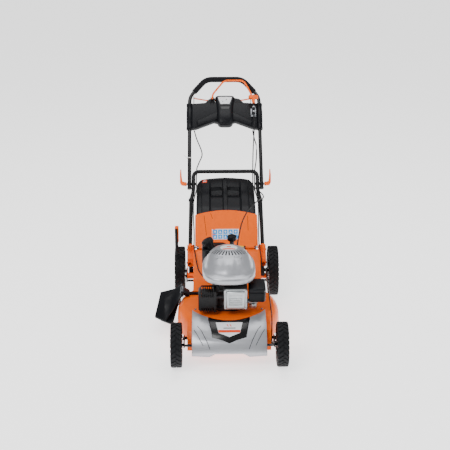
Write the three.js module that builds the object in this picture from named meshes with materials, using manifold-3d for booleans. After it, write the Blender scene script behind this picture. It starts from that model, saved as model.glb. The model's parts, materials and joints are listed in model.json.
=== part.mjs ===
// A walk-behind petrol lawn mower with a steel deck, four wheels on swinging axles, a rear grass
// catcher, a side discharge and a folding handle. Millimetres, +Z up, the mower's nose towards -Y.
// While it is built, x = 0 is the middle of the mower, y = 0 is midway between the axles and z = 0 is
// the ground; at the end the group moves so that its origin is the bottom centre of its box.
import * as THREE from "three";
import { mergeVertices } from "three/addons/utils/BufferGeometryUtils.js";
import Module from "manifold-3d";

const wasm = await Module();
wasm.setup();

// ---------------------------------------------------------------- driving dimensions
const GAP = 0.4; // between touching pieces
const WHEELBASE = 700;
const FRONT_TYRE_R = 101.5;
const REAR_TYRE_R = 127;
const WHEEL_X = 236; // centre of each wheel from the middle of the mower
const TYRE_W = 50;
const AXLE_R = 8;
const ARM = 60; // axle pivot to wheel centre
const ARM_X = 205; // middle of the arm plates
const FRONT_Y = -WHEELBASE / 2;
const REAR_Y = WHEELBASE / 2;
const FRONT_PIVOT = { y: FRONT_Y + ARM, z: FRONT_TYRE_R };
const REAR_PIVOT = { y: REAR_Y - ARM, z: REAR_TYRE_R };
const LINK_ARM = 32; // axle pivot to the height link's pin: below it in front, above it behind
const LINK_X = 196;
const RING_TEETH = 40; // internal gear moulded into each rear rim
const PINION_TEETH = 8;
const GEAR_MODULE = (2 * ARM) / (RING_TEETH - PINION_TEETH);

const DECK_R = 240; // blade housing
const DECK_BOTTOM = 60;
const DECK_TOP = 168;
const SHEET = 3; // steel thickness
const NOSE_X = 188;
const NECK_X = 166;
const NECK_END = 345;
const TUNNEL_TOP = 262;
const BLADE_R = 228;
const BLADE_Z = 72;
const BELT_Z = 96;
const CRANK_PULLEY_R = 25;
const BOX_PULLEY_R = 34;

const TUBE_R = 10;
const HANDLE_ANGLE = THREE.MathUtils.degToRad(42);
const HANDLE_FOOT = { y: 317, z: 214 }; // the handle's own frame starts here
const FOOT_X = 185; // lower handle legs at the deck
const KNEE_X = 180; // where the legs jog inwards
const LOWER_X = 167.5; // lower handle legs beside the upper handle
const UPPER_X = 188.6;
const FOLD_S = 420; // fold pivot, along the handle from its foot
const CROSSBAR_S = 493;
const GRIP_S = 1066; // grip bar, along the handle
const CABLE_R = 2.5;

const HINGE = { y: 327, z: 268 }; // rear flap hinge
const FLAP_X = 158;
const FLAP_TIP = { y: 473, z: 398 };
const CATCHER_X = 155;
const CATCHER_REAR = { y: 775, z: 468 };

// ---------------------------------------------------------------- materials
const paint = (color, roughness, metalness = 0) =>
  new THREE.MeshStandardMaterial({ color, roughness, metalness });
const ORANGE_PAINT = paint(0xee5a12, 0.35, 0.1);
const ORANGE_PLASTIC = paint(0xf2641e, 0.5);
const SILVER_PLASTIC = paint(0xb9bbc0, 0.35, 0.2);
const BLACK_PLASTIC = paint(0x1c1d20, 0.6);
const BLACK_PAINT = paint(0x17181a, 0.35, 0.1);
const RUBBER = paint(0x1a1b1d, 0.85);
const FOAM = paint(0x242528, 0.9);
const FABRIC = paint(0x202124, 0.95);
const STEEL = paint(0xa8aaad, 0.35, 0.9);
const ALUMINIUM = paint(0xb4b6b8, 0.4, 0.8);
const CAST = paint(0x4a4b4d, 0.6, 0.6);
const CERAMIC = paint(0xe8e6e0, 0.3);

// ---------------------------------------------------------------- solids
const xyz = (x, y, z) => new THREE.Vector3(x, y, z);

// A closed geometry as a manifold-3d solid.
function solidOf(geometry) {
  const bare = geometry.clone();
  for (const name of ["normal", "uv"]) bare.deleteAttribute(name);
  const merged = mergeVertices(bare, 1e-3);
  const triVerts = new Uint32Array(merged.index.array);
  const vertProperties = new Float32Array(merged.attributes.position.array);
  const solid = new wasm.Manifold(new wasm.Mesh({ numProp: 3, vertProperties, triVerts }));
  if (solid.volume() > 0) return solid;
  for (let i = 0; i < triVerts.length; i += 3)
    [triVerts[i + 1], triVerts[i + 2]] = [triVerts[i + 2], triVerts[i + 1]];
  return new wasm.Manifold(new wasm.Mesh({ numProp: 3, vertProperties, triVerts }));
}

function geometryOf(solid) {
  const mesh = solid.getMesh();
  const positions = new Float32Array(mesh.numVert * 3);
  for (let i = 0; i < mesh.numVert; i++)
    positions.set(mesh.vertProperties.subarray(i * mesh.numProp, i * mesh.numProp + 3), i * 3);
  const geometry = new THREE.BufferGeometry();
  geometry.setAttribute("position", new THREE.BufferAttribute(positions, 3));
  geometry.setIndex(new THREE.BufferAttribute(new Uint32Array(mesh.triVerts), 1));
  geometry.computeVertexNormals();
  return geometry;
}

const join = (...solids) => solids.reduce((a, b) => a.add(b));
const cut = (solid, ...tools) => tools.reduce((a, b) => a.subtract(b), solid);

function fromTriangles(points, faces) {
  const geometry = new THREE.BufferGeometry();
  geometry.setAttribute("position", new THREE.Float32BufferAttribute(points.flatMap((p) => [p.x, p.y, p.z]), 3));
  geometry.setIndex(faces.flat());
  return solidOf(geometry);
}

function box(x0, x1, y0, y1, z0, z1) {
  const geometry = new THREE.BoxGeometry(x1 - x0, y1 - y0, z1 - z0);
  return solidOf(geometry.translate((x0 + x1) / 2, (y0 + y1) / 2, (z0 + z1) / 2));
}

// A basis that takes a drawing's own right, up and towards-the-viewer to world axes.
const BASES = {
  x: new THREE.Matrix4().makeBasis(xyz(0, 1, 0), xyz(0, 0, 1), xyz(1, 0, 0)),
  y: new THREE.Matrix4().makeBasis(xyz(0, 0, 1), xyz(1, 0, 0), xyz(0, 1, 0)),
  z: new THREE.Matrix4(),
};

// An outline extruded along an axis. Points are (y, z) for x, (z, x) for y and (x, y) for z.
function prism(axis, points, from, to, bevel = 0) {
  const shape = new THREE.Shape(points.map(([a, b]) => new THREE.Vector2(a, b)));
  const options = { depth: to - from - 2 * bevel, bevelEnabled: bevel > 0, curveSegments: 6 };
  if (bevel > 0) {
    Object.assign(options, { bevelThickness: bevel, bevelSize: bevel, bevelOffset: -bevel });
    options.bevelSegments = 1;
  }
  const geometry = new THREE.ExtrudeGeometry(shape, options).translate(0, 0, from + bevel);
  return solidOf(geometry.applyMatrix4(BASES[axis]));
}

// A cylinder or cone between two points.
function rod(p, q, r, sides = 14, endR = r) {
  const axis = q.clone().sub(p);
  const geometry = new THREE.CylinderGeometry(endR, r, axis.length(), sides);
  geometry.translate(0, axis.length() / 2, 0);
  const turn = new THREE.Quaternion().setFromUnitVectors(xyz(0, 1, 0), axis.normalize());
  return solidOf(geometry.applyQuaternion(turn).translate(p.x, p.y, p.z));
}

// A profile of [radius, height] pairs turned about an axis, with a flat facet at the bottom.
function turned(profile, sides, axis = "z") {
  const points = profile.map(([r, h]) => new THREE.Vector2(r, h));
  if (profile[0][0] > 0) points.push(points[0].clone());
  const geometry = new THREE.LatheGeometry(points, sides, Math.PI / sides);
  if (axis === "x") geometry.rotateZ(-Math.PI / 2);
  if (axis === "z") geometry.rotateX(Math.PI / 2);
  return solidOf(geometry);
}

// A polyline whose corners are rounded by arcs of a few points.
function rounded(points, radius, arcSteps = 3) {
  const found = [points[0]];
  for (let i = 1; i < points.length - 1; i++) {
    const [a, b, c] = [points[i - 1], points[i], points[i + 1]];
    const back = a.clone().sub(b);
    const ahead = c.clone().sub(b);
    const reach = Math.min(radius, back.length() / 2.1, ahead.length() / 2.1);
    const start = b.clone().addScaledVector(back.normalize(), reach);
    const end = b.clone().addScaledVector(ahead.normalize(), reach);
    const bend = new THREE.QuadraticBezierCurve3(start, b, end);
    for (let k = 0; k <= arcSteps; k++) found.push(bend.getPoint(k / arcSteps));
  }
  return [...found, points.at(-1)];
}

const smooth = (points, count) => new THREE.CatmullRomCurve3(points, false, "centripetal").getPoints(count);

// A path that ExtrudeGeometry samples at its own stations, so that straight stretches stay cheap.
class StationPath extends THREE.Curve {
  constructor(stations) {
    super();
    this.stations = stations;
  }
  getPoint(t) {
    const place = t * (this.stations.length - 1);
    const i = Math.min(Math.floor(place), this.stations.length - 2);
    return this.stations[i].clone().lerp(this.stations[i + 1], place - i);
  }
  getTangent(t) {
    const i = Math.round(t * (this.stations.length - 1));
    const before = this.stations[Math.max(i - 1, 0)];
    const after = this.stations[Math.min(i + 1, this.stations.length - 1)];
    return after.clone().sub(before).normalize();
  }
  getPointAt(t) {
    return this.getPoint(t);
  }
  getTangentAt(t) {
    return this.getTangent(t);
  }
  getSpacedPoints(count) {
    return this.getPoints(count);
  }
}

function tube(stations, r, sides = 10) {
  const corners = Array.from({ length: sides }, (_, i) => {
    const angle = (2 * Math.PI * (i + 0.5)) / sides;
    return new THREE.Vector2(r * Math.cos(angle), r * Math.sin(angle));
  });
  const extrudePath = new StationPath(stations);
  const options = { steps: stations.length - 1, extrudePath, bevelEnabled: false };
  return solidOf(new THREE.ExtrudeGeometry(new THREE.Shape(corners), options));
}

// A stack of level superellipses [z, centre x, centre y, half width, half length, squareness].
function stack(levels, sides) {
  const points = [];
  for (const [z, cx, cy, a, b, n] of levels)
    for (let j = 0; j < sides; j++) {
      const t = (2 * Math.PI * (j + 0.5)) / sides;
      const [c, s] = [Math.cos(t), Math.sin(t)];
      points.push(xyz(cx + a * Math.sign(c) * Math.abs(c) ** (2 / n), cy + b * Math.sign(s) * Math.abs(s) ** (2 / n), z));
    }
  const faces = [];
  for (let k = 0; k + 1 < levels.length; k++)
    for (let j = 0; j < sides; j++) {
      const [p, q] = [k * sides + j, k * sides + ((j + 1) % sides)];
      faces.push([p, q, q + sides], [p, q + sides, p + sides]);
    }
  const top = (levels.length - 1) * sides;
  for (let j = 1; j + 1 < sides; j++) faces.push([0, j + 1, j], [top, top + j, top + j + 1]);
  return fromTriangles(points, faces);
}

// A curved sheet of even thickness over a grid, u and v from 0 to 1.
function sheet(surface, nu, nv, thickness) {
  const outer = [];
  const inner = [];
  const small = 1e-3;
  for (let i = 0; i <= nu; i++)
    for (let j = 0; j <= nv; j++) {
      const [u, v] = [i / nu, j / nv];
      const p = surface(u, v);
      const [u1, v1] = [u > 0.5 ? -small : small, v > 0.5 ? -small : small];
      const du = surface(u + u1, v).sub(p).multiplyScalar(Math.sign(u1));
      const dv = surface(u, v + v1).sub(p).multiplyScalar(Math.sign(v1));
      outer.push(p);
      inner.push(p.clone().addScaledVector(du.cross(dv).normalize(), thickness));
    }
  const count = outer.length;
  const faces = [];
  const quad = (a, b, c, d) => faces.push([a, b, c], [a, c, d]);
  const at = (i, j) => i * (nv + 1) + j;
  for (let i = 0; i < nu; i++)
    for (let j = 0; j < nv; j++) {
      quad(at(i, j), at(i + 1, j), at(i + 1, j + 1), at(i, j + 1));
      quad(count + at(i, j), count + at(i, j + 1), count + at(i + 1, j + 1), count + at(i + 1, j));
    }
  const rim = (a, b) => quad(b, a, count + a, count + b);
  for (let i = 0; i < nu; i++) {
    rim(at(i, 0), at(i + 1, 0));
    rim(at(i + 1, nv), at(i, nv));
  }
  for (let j = 0; j < nv; j++) {
    rim(at(nu, j), at(nu, j + 1));
    rim(at(0, j + 1), at(0, j));
  }
  return fromTriangles([...outer, ...inner], faces);
}

const mirrored = (solid) => solidOf(geometryOf(solid).scale(-1, 1, 1));
const moved = (solid, x, y, z) => solidOf(geometryOf(solid).translate(x, y, z));
const spun = (solid, angle) => solidOf(geometryOf(solid).rotateZ(angle)); // about the z axis

// ---------------------------------------------------------------- assembly
const mower = new THREE.Group();
const handleFrame = new THREE.Group(); // x across, y along the handle, z square to it
handleFrame.position.set(0, HANDLE_FOOT.y, HANDLE_FOOT.z);
handleFrame.rotation.x = HANDLE_ANGLE;
mower.add(handleFrame);

function add(name, solid, material, parent = mower) {
  const mesh = new THREE.Mesh(geometryOf(solid), material);
  mesh.name = name;
  parent.add(mesh);
  return mesh;
}

// A point of the mower in the handle's frame.
function onHandle(x, y, z) {
  const [dy, dz] = [y - HANDLE_FOOT.y, z - HANDLE_FOOT.z];
  const [c, s] = [Math.cos(HANDLE_ANGLE), Math.sin(HANDLE_ANGLE)];
  return xyz(x, dy * c + dz * s, dz * c - dy * s);
}

// ---------------------------------------------------------------- deck
const CRANK = { x: 0, y: -75 };
const GEARBOX_Y = 245;
const drum = (grow, from, to) =>
  stack(
    [
      [from, 0, CRANK.y, DECK_R + grow, DECK_R + grow, 2],
      [128, 0, CRANK.y, DECK_R - 3 + grow, DECK_R - 3 + grow, 2],
      [154, 0, CRANK.y, DECK_R - 13 + grow, DECK_R - 13 + grow, 2],
      [to, 0, CRANK.y, DECK_R - 30 + grow, DECK_R - 30 + grow, 2],
    ],
    28,
  );

const nose = (grow, bottom) =>
  prism("x", [[-330 - grow, bottom], [-330 - grow, 122], [-306 - grow, 148 + grow], [-60, 150 + grow], [-60, bottom]],
    -NOSE_X - grow, NOSE_X + grow);

const neckOutline = [
  [-40, DECK_BOTTOM], [165, DECK_BOTTOM], [228, 112], [NECK_END, 112], [NECK_END, TUNNEL_TOP],
  [288, TUNNEL_TOP], [150, DECK_TOP + 3], [30, DECK_TOP], [-40, DECK_TOP],
];

// The notched plate that the height lever's arm moves along, welded to the neck's left side.
function heightQuadrant() {
  const [near, far] = [48, 66];
  const points = [];
  for (let i = 0; i <= 8; i++) {
    const angle = THREE.MathUtils.degToRad(100 + i * 7);
    points.push([REAR_PIVOT.y + near * Math.cos(angle), REAR_PIVOT.z + near * Math.sin(angle)]);
  }
  for (let i = 8; i >= 0; i--)
    for (const [step, r] of [[5.6, far], [3.4, far], [2.4, far - 5], [1, far - 5]]) {
      const angle = THREE.MathUtils.degToRad(100 + (i - 1) * 7 + step);
      points.push([REAR_PIVOT.y + r * Math.cos(angle), REAR_PIVOT.z + r * Math.sin(angle)]);
    }
  const foot = box(-196, -NECK_X + 1, 238, 252, 152, 164);
  return join(prism("x", points, -197.5, -194), foot);
}
function deckShell() {
  const outer = join(drum(0, DECK_BOTTOM, DECK_TOP), nose(0, DECK_BOTTOM), prism("x", neckOutline, -NECK_X, NECK_X));
  const inner = NECK_X - SHEET;
  const tunnel = prism("x", [[60, 122], [166, 122], [226, 153], [NECK_END + 5, 156], [NECK_END + 5, TUNNEL_TOP - SHEET],
    [289, TUNNEL_TOP - SHEET], [151, DECK_TOP], [60, DECK_TOP - 4]], -inner, inner);
  const driveBay = prism("x", [[20, 40], [20, 118], [168, 118], [226, 149], [NECK_END + 5, 152], [NECK_END + 5, 40]],
    -inner, inner);
  const outerDrum = drum(0, 30, DECK_TOP);
  const chamber = drum(-SHEET, 30, DECK_TOP - SHEET);
  const noseBay = nose(-SHEET, 40);
  let shell = cut(outer, chamber, tunnel, cut(driveBay, outerDrum), cut(noseBay, outerDrum));
  for (const side of [-1, 1]) {
    const rearBoss = rod(xyz(side * (inner - 1), REAR_PIVOT.y, REAR_PIVOT.z), xyz(side * 198.4, REAR_PIVOT.y, REAR_PIVOT.z), 14);
    const frontBoss = rod(xyz(side * 176, FRONT_PIVOT.y, FRONT_PIVOT.z), xyz(side * (NOSE_X - 1), FRONT_PIVOT.y, FRONT_PIVOT.z), 13);
    const ear = box(side > 0 ? 159.5 : -NECK_X, side > 0 ? NECK_X : -159.5, HINGE.y - 9, HINGE.y + 9, 250, HINGE.z + 9);
    shell = join(shell, rearBoss, frontBoss, ear);
  }
  shell = join(shell, heightQuadrant());
  const bore = (pivot, r) => rod(xyz(-260, pivot.y, pivot.z), xyz(260, pivot.y, pivot.z), r, 16);
  const crankHole = rod(xyz(CRANK.x, CRANK.y, 140), xyz(CRANK.x, CRANK.y, 200), 40, 24);
  const beltSlot = box(-44, 44, 140, 180, 86, 106);
  const discharge = box(-262, -180, -78, 52, 50, 126);
  const flapRoom = box(-158.5, 158.5, 316, NECK_END + 5, 250, 280);
  return cut(shell, flapRoom, bore(REAR_PIVOT, 7.4), bore(FRONT_PIVOT, 7.8), bore(HINGE, 4.6), crankHole, beltSlot, discharge);
}
add("deck_shell", deckShell(), ORANGE_PAINT);

// ---------------------------------------------------------------- front cover
const COVER_X = 167;
const coverOutline = (grow) => [
  [-384 - grow, 30], [-384 - grow, 64], [-391 - grow, 80], [-384 - grow, 102 + grow / 2], [-364 - grow, 130 + grow],
  [-330, 157 + grow], [-290, 175 + grow], [-240, 185 + grow], [-160, 187 + grow], [-160, 30],
];
const INSERT = [[-94, -225], [94, -225], [94, -262], [76, -352], [0, -371], [-76, -352], [-94, -262]];

function frontCover() {
  const skin = cut(prism("x", coverOutline(0), -COVER_X, COVER_X), prism("x", coverOutline(-3.2), 3.2 - COVER_X, COVER_X - 3.2));
  const engineRoom = rod(xyz(0, CRANK.y, 20), xyz(0, CRANK.y, 220), 196, 48);
  const hem = prism("y", [[20, -COVER_X - 5], [62, -COVER_X - 5], [56, -88], [74, -62], [74, 62], [56, 88], [62, COVER_X + 5],
    [20, COVER_X + 5]], -420, -140);
  const window = prism("z", INSERT, 90, 220);
  const axleRoom = [box(-200, -150, -359, -140, 20, 127), box(150, 200, -359, -140, 20, 127)];
  const solid = cut(skin, engineRoom, hem, window, ...axleRoom, drum(0.6, 40, DECK_TOP + 0.6), nose(0.6, 40));
  return solid.decompose().reduce((a, b) => (a.volume() > b.volume() ? a : b));
}
add("front_cover", frontCover(), SILVER_PLASTIC);

function coverInsert() {
  const inset = INSERT.map(([x, y]) => [x - Math.sign(x) * 0.5, y + (y < -300 ? 0.6 : 0)]);
  const slab = cut(prism("x", coverOutline(-1.2), -100, 100), prism("x", coverOutline(-4), -101, 101));
  const engineRoom = rod(xyz(0, CRANK.y, 20), xyz(0, CRANK.y, 220), 192, 48);
  return cut(slab.intersect(prism("z", inset, 90, 220)), engineRoom, drum(0.6, 40, DECK_TOP + 0.6), nose(0.6, 40));
}
add("cover_insert", coverInsert(), BLACK_PLASTIC);

// ---------------------------------------------------------------- engine
const SHROUD_BASE = 330;
const CRANKCASE_TOP = 318;
const CYLINDER_X = 30.5;
const VALVE_COVER_Y = -207;

function engineBlock() {
  const sump = stack(
    [
      [DECK_TOP + 0.5, 0, CRANK.y, 90, 90, 2.6],
      [184, 0, CRANK.y, 90, 90, 2.6],
      [189, 0, CRANK.y, 76, 78, 2.6],
      [CRANKCASE_TOP, 0, CRANK.y, 74, 76, 2.6],
    ],
    24,
  );
  let block = join(sump, box(CYLINDER_X - 54, CYLINDER_X + 54, VALVE_COVER_Y + 0.4, -120, 206, 306));
  for (let i = 0; i < 5; i++) {
    const y = VALVE_COVER_Y + 9 + i * 10;
    for (const [x0, x1] of [[CYLINDER_X - 60, CYLINDER_X - 36], [CYLINDER_X + 36, CYLINDER_X + 60]])
      block = cut(block, box(x0, x1, y, y + 5, 200, 310));
    block = cut(block, box(CYLINDER_X - 60, CYLINDER_X + 60, y, y + 5, 288, 310));
  }
  const fillerPath = rounded([xyz(12, -20, 240), xyz(16, 60, 262), xyz(22, 145, 330), xyz(22, 145, 389)], 60);
  const filler = tube(fillerPath, 11, 10);
  const crankBore = rod(xyz(0, CRANK.y, 100), xyz(0, CRANK.y, 350), 12, 16);
  return cut(join(block, filler), crankBore);
}
add("engine_block", engineBlock(), CAST);

function valveCover() {
  const outline = [[-52, -42], [-44, -50], [44, -50], [52, -42], [52, 42], [44, 50], [-44, 50], [-52, 42]];
  const at = (points) => points.map(([x, z]) => [z + 256, x + CYLINDER_X]);
  const flange = prism("y", at(outline), VALVE_COVER_Y - 8, VALVE_COVER_Y);
  const crown = prism("y", at(outline.map(([x, z]) => [x * 0.84, z * 0.86])), VALVE_COVER_Y - 20, VALVE_COVER_Y - 7, 4);
  let cover = cut(join(flange, crown), box(CYLINDER_X - 30, CYLINDER_X + 30, VALVE_COVER_Y - 30, VALVE_COVER_Y - 15, 232, 284));
  for (const z of [240, 250, 260])
    cover = join(cover, box(CYLINDER_X - 31, CYLINDER_X + 31, VALVE_COVER_Y - 18, VALVE_COVER_Y - 14, z, z + 4));
  for (const [x, z] of [[-46, -44], [46, -44], [-46, 44], [46, 44]])
    cover = join(cover, rod(xyz(CYLINDER_X + x, VALVE_COVER_Y - 13, 256 + z), xyz(CYLINDER_X + x, VALVE_COVER_Y - 2, 256 + z), 5, 6));
  return cover;
}
add("valve_cover", valveCover(), ALUMINIUM);

const GUARD = { x0: -138, x1: -56, y0: -212, y1: -140, z0: 190, z1: 292 };

function muffler() {
  const can = prism("y", [[200, -124], [282, -124], [282, -70], [200, -70]], -196, -150, 6);
  const port = rod(xyz(-72, -176, 250), xyz(CYLINDER_X - 54.6, -176, 250), 9, 10);
  return join(can, port);
}
add("muffler", muffler(), CAST);

function mufflerGuard() {
  const { x0, x1, y0, y1, z0, z1 } = GUARD;
  const outer = prism("y", [[z0 + 14, x0], [z1 - 16, x0], [z1, x0 + 14], [z1, x1], [z0, x1], [z0, x0 + 14]], y0, y1);
  const inner = prism("y", [[z0 + 15, x0 + 3], [z1 - 17, x0 + 3], [z1 - 3, x0 + 15], [z1 - 3, x1 - 3], [z0 + 3, x1 - 3],
    [z0 + 3, x0 + 15]], y0 + 3, y1 + 1);
  let guard = cut(outer, inner);
  for (let i = 0; i < 6; i++) {
    const x = x0 + 14 + i * 10;
    guard = cut(guard, box(x, x + 5, y0 - 5, y0 + 14, z0 - 5, z0 + 24), box(x, x + 5, y0 - 5, y0 + 60, z1 - 26, z1 + 5));
  }
  return cut(guard, rod(xyz(-75, -176, 250), xyz(-50, -176, 250), 12, 12));
}
add("muffler_guard", mufflerGuard(), BLACK_PAINT);

function carburettor() {
  const bowl = turned([[0, 192], [15, 192], [17, 196], [17, 214], [13, 216], [0, 216]], 14);
  const throat = rod(xyz(CYLINDER_X + 54.6, -168, 223), xyz(132, -168, 223), 12, 12);
  return join(moved(bowl, 112, -168, 0), throat);
}
add("carburettor", carburettor(), ALUMINIUM);

function airFilterBox() {
  const body = prism("z", [[92, -212], [160, -212], [168, -200], [168, -104], [158, -96], [92, -96]], 238, 304, 4);
  const lidLine = cut(box(80, 180, -225, -90, 284, 287), box(94, 165.5, -209.5, -98.5, 280, 290));
  return cut(body, lidLine);
}
add("air_filter_box", airFilterBox(), BLACK_PLASTIC);

const SHROUD_LEVELS = [
  [SHROUD_BASE, 2.5, -70, 121.5, 150, 3],
  [354, 2.5, -70, 121.5, 150, 3],
  [360, 2.5, -68, 117, 145, 3],
  [382, 2.5, -56, 103, 120, 2.6],
  [406, 2.5, -40, 80, 89, 2.2],
  [419, 2.5, -31, 52, 58, 2],
  [423, 2.5, -28, 26, 30, 2],
];

function engineShroud() {
  const outer = stack(SHROUD_LEVELS, 24);
  const innerLevels = SHROUD_LEVELS.map(([z, cx, cy, a, b, n], i) => [i ? z - 3.5 : z - 4, cx, cy, a - 4, b - 4, n]);
  let shroud = cut(outer, stack(innerLevels, 24));
  const slots = 9;
  for (let i = 0; i < slots; i++) {
    const turn = ((i - (slots - 1) / 2) * 2.2) / slots;
    const slot = spun(box(-2.2, 2.2, -96, -66, 380, 430), turn);
    shroud = cut(shroud, moved(slot, 2.5, -20, 0));
  }
  return shroud;
}
add("engine_shroud", engineShroud(), SILVER_PLASTIC);

const FUEL_NECK = { foot: xyz(-72, 104, 356), tilt: -0.5, length: 36 };

function fuelTank() {
  const tank = prism("z", [[-122, 84], [-106, 70], [-74, 70], [-56, 83], [-8, 88], [-4, 96], [-4, 150], [-20, 164], [-104, 164],
    [-122, 146]], 292, 372, 5);
  const up = xyz(Math.sin(FUEL_NECK.tilt), 0, Math.cos(FUEL_NECK.tilt));
  const neck = rod(FUEL_NECK.foot, FUEL_NECK.foot.clone().addScaledVector(up, FUEL_NECK.length), 20, 16);
  return join(tank, neck);
}
add("fuel_tank", fuelTank(), BLACK_PLASTIC);

// A filler cap with a ribbed edge, closed at the top, standing on its origin.
function fillerCap(r, height, ribs) {
  let cap = turned([[0, 0], [r - 2, 0], [r, 4], [r, height - 4], [r - 4, height], [0, height]], ribs * 2);
  for (let i = 0; i < ribs; i++) {
    const groove = box(r - 1.8, r + 2, -1.6, 1.6, -1, height + 1);
    cap = cut(cap, spun(groove, (2 * Math.PI * i) / ribs));
  }
  return cap;
}
const fuelCap = add("fuel_cap", fillerCap(29, 24, 8), BLACK_PLASTIC);
fuelCap.rotation.y = FUEL_NECK.tilt;
fuelCap.position.copy(FUEL_NECK.foot).addScaledVector(xyz(Math.sin(FUEL_NECK.tilt), 0, Math.cos(FUEL_NECK.tilt)), FUEL_NECK.length + 0.5);
const oilCap = add("oil_cap", fillerCap(23, 24, 6), BLACK_PLASTIC);
oilCap.position.set(22, 145, 389.5);

function sparkPlug() {
  const boot = rod(xyz(-46, -198, 292), xyz(-25.4, -194, 292), 7, 10);
  const lead = tube(rounded([xyz(-42, -198, 292), xyz(-50, -204, 312), xyz(-44, -180, 324), xyz(-40, -150, 326)], 14), 3, 8);
  return join(boot, lead);
}
add("spark_plug_lead", sparkPlug(), BLACK_PLASTIC);

// ---------------------------------------------------------------- crankshaft and blade
add("crankshaft", rod(xyz(0, CRANK.y, 80.6), xyz(0, CRANK.y, 346), 11, 16), STEEL);

function flywheel() {
  let disc = turned([[11.6, 320.5], [78, 320.5], [80, 324], [80, 332], [11.6, 332]], 20);
  const fin = box(44, 76, -1.5, 1.5, 331, 346);
  for (let i = 0; i < 8; i++) disc = join(disc, spun(fin, (i * Math.PI) / 4));
  return moved(disc, 0, CRANK.y, 0);
}
add("flywheel", flywheel(), CAST);

const pulley = (r, bore, z) => [
  [bore, z - 8], [r, z - 8], [r, z - 5.5], [r - 6, z - 4.5], [r - 6, z + 4.5], [r, z + 5.5], [r, z + 8], [bore, z + 8],
];
const adapter = turned([[11.6, 80.6], [18, 80.6], [18, 120], [11.6, 120]], 12);
const crankPulley = turned(pulley(CRANK_PULLEY_R, 11.6, BELT_Z), 12);
add("blade_adapter", moved(join(adapter, crankPulley), 0, CRANK.y, 0), STEEL);

const BLADE_TURN = THREE.MathUtils.degToRad(55);

function blade() {
  const flat = box(-28, 28, -BLADE_R + 2, BLADE_R - 2, BLADE_Z, BLADE_Z + 4);
  const wing = prism("y", [[BLADE_Z, 8], [BLADE_Z + 4, 8], [BLADE_Z + 13, 26], [BLADE_Z + 13, 30], [BLADE_Z + 9, 30], [BLADE_Z, 18]],
    BLADE_R - 78, BLADE_R - 4);
  const tips = cut(flat, box(-40, -12, BLADE_R - 90, BLADE_R, 60, 90), box(12, 40, -BLADE_R, 90 - BLADE_R, 60, 90));
  const bar = join(tips, wing, spun(wing, Math.PI));
  const bored = cut(bar, rod(xyz(0, 0, 60), xyz(0, 0, 90), 6, 12));
  return moved(spun(bored, BLADE_TURN), 0, CRANK.y, 0);
}
add("blade", blade(), STEEL);
const boltProfile = [[0, 62], [10, 62], [10, 71.4], [5.4, 71.4], [5.4, 80], [0, 80]];
add("blade_bolt", moved(turned(boltProfile, 12), 0, CRANK.y, 0), STEEL);

// ---------------------------------------------------------------- wheel drive
function beltOutline(frontR, rearR) {
  const reach = GEARBOX_Y - CRANK.y;
  const lean = Math.asin((rearR - frontR) / reach);
  const points = [];
  const steps = 7;
  for (let i = 0; i <= steps; i++) {
    const angle = Math.PI + lean + ((Math.PI - 2 * lean) * i) / steps;
    points.push([frontR * Math.cos(angle), CRANK.y + frontR * Math.sin(angle)]);
  }
  for (let i = 0; i <= steps; i++) {
    const angle = -lean + ((Math.PI + 2 * lean) * i) / steps;
    points.push([rearR * Math.cos(angle), GEARBOX_Y + rearR * Math.sin(angle)]);
  }
  return points;
}
const beltLoop = (grow) => beltOutline(CRANK_PULLEY_R - 5 + grow, BOX_PULLEY_R - 5 + grow);
add("drive_belt", cut(prism("z", beltLoop(6), BELT_Z - 4, BELT_Z + 4), prism("z", beltLoop(0), BELT_Z - 9, BELT_Z + 9)), RUBBER);

function gearboxHousing() {
  const body = prism("z", [[-38, 232], [-28, 224], [28, 224], [38, 232], [38, 300], [28, 308], [-28, 308], [-38, 300]], 106, 141, 4);
  const sleeve = rod(xyz(-52, REAR_PIVOT.y, REAR_PIVOT.z), xyz(52, REAR_PIVOT.y, REAR_PIVOT.z), 12, 14);
  const shaftBore = rod(xyz(-80, REAR_PIVOT.y, REAR_PIVOT.z), xyz(80, REAR_PIVOT.y, REAR_PIVOT.z), 7, 16);
  return cut(join(body, sleeve), shaftBore, rod(xyz(0, GEARBOX_Y, 90), xyz(0, GEARBOX_Y, 118), 7.4, 14));
}
add("gearbox_housing", gearboxHousing(), CAST);
const inputShaft = turned([[0, BELT_Z - 7], [6.5, BELT_Z - 7], [6.5, 116], [0, 116]], 14);
const boxPulley = turned(pulley(BOX_PULLEY_R, 4, BELT_Z), 16);
add("gearbox_pulley", moved(join(inputShaft, boxPulley), 0, GEARBOX_Y, 0), STEEL);

// Teeth as [angle, radius] corners: `share` of each pitch is tooth at the root and `tip` at the tip.
function toothOutline(teeth, rootR, tipR, share, tip, phase) {
  const points = [];
  const pitch = (2 * Math.PI) / teeth;
  for (let i = 0; i < teeth; i++)
    for (const [offset, r] of [[-share / 2, rootR], [-tip / 2, tipR], [tip / 2, tipR], [share / 2, rootR]]) {
      const angle = phase + (i + offset) * pitch;
      points.push([r * Math.cos(angle), r * Math.sin(angle)]);
    }
  return points;
}
const PINION_R = (PINION_TEETH * GEAR_MODULE) / 2;
const RING_R = (RING_TEETH * GEAR_MODULE) / 2;
const PINION_X = [212.5, 224];

function driveShaft() {
  const { y, z } = REAR_PIVOT;
  let shaft = rod(xyz(-PINION_X[1], y, z), xyz(PINION_X[1], y, z), 6.4, 14);
  const teeth = toothOutline(PINION_TEETH, PINION_R - 3.4, PINION_R + 2.8, 0.5, 0.2, Math.PI);
  for (const [x0, x1] of [PINION_X, [-PINION_X[1], -PINION_X[0]]])
    shaft = join(shaft, prism("x", teeth.map(([a, b]) => [a + y, b + z]), x0, x1));
  return shaft;
}
add("drive_shaft", driveShaft(), STEEL);

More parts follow.
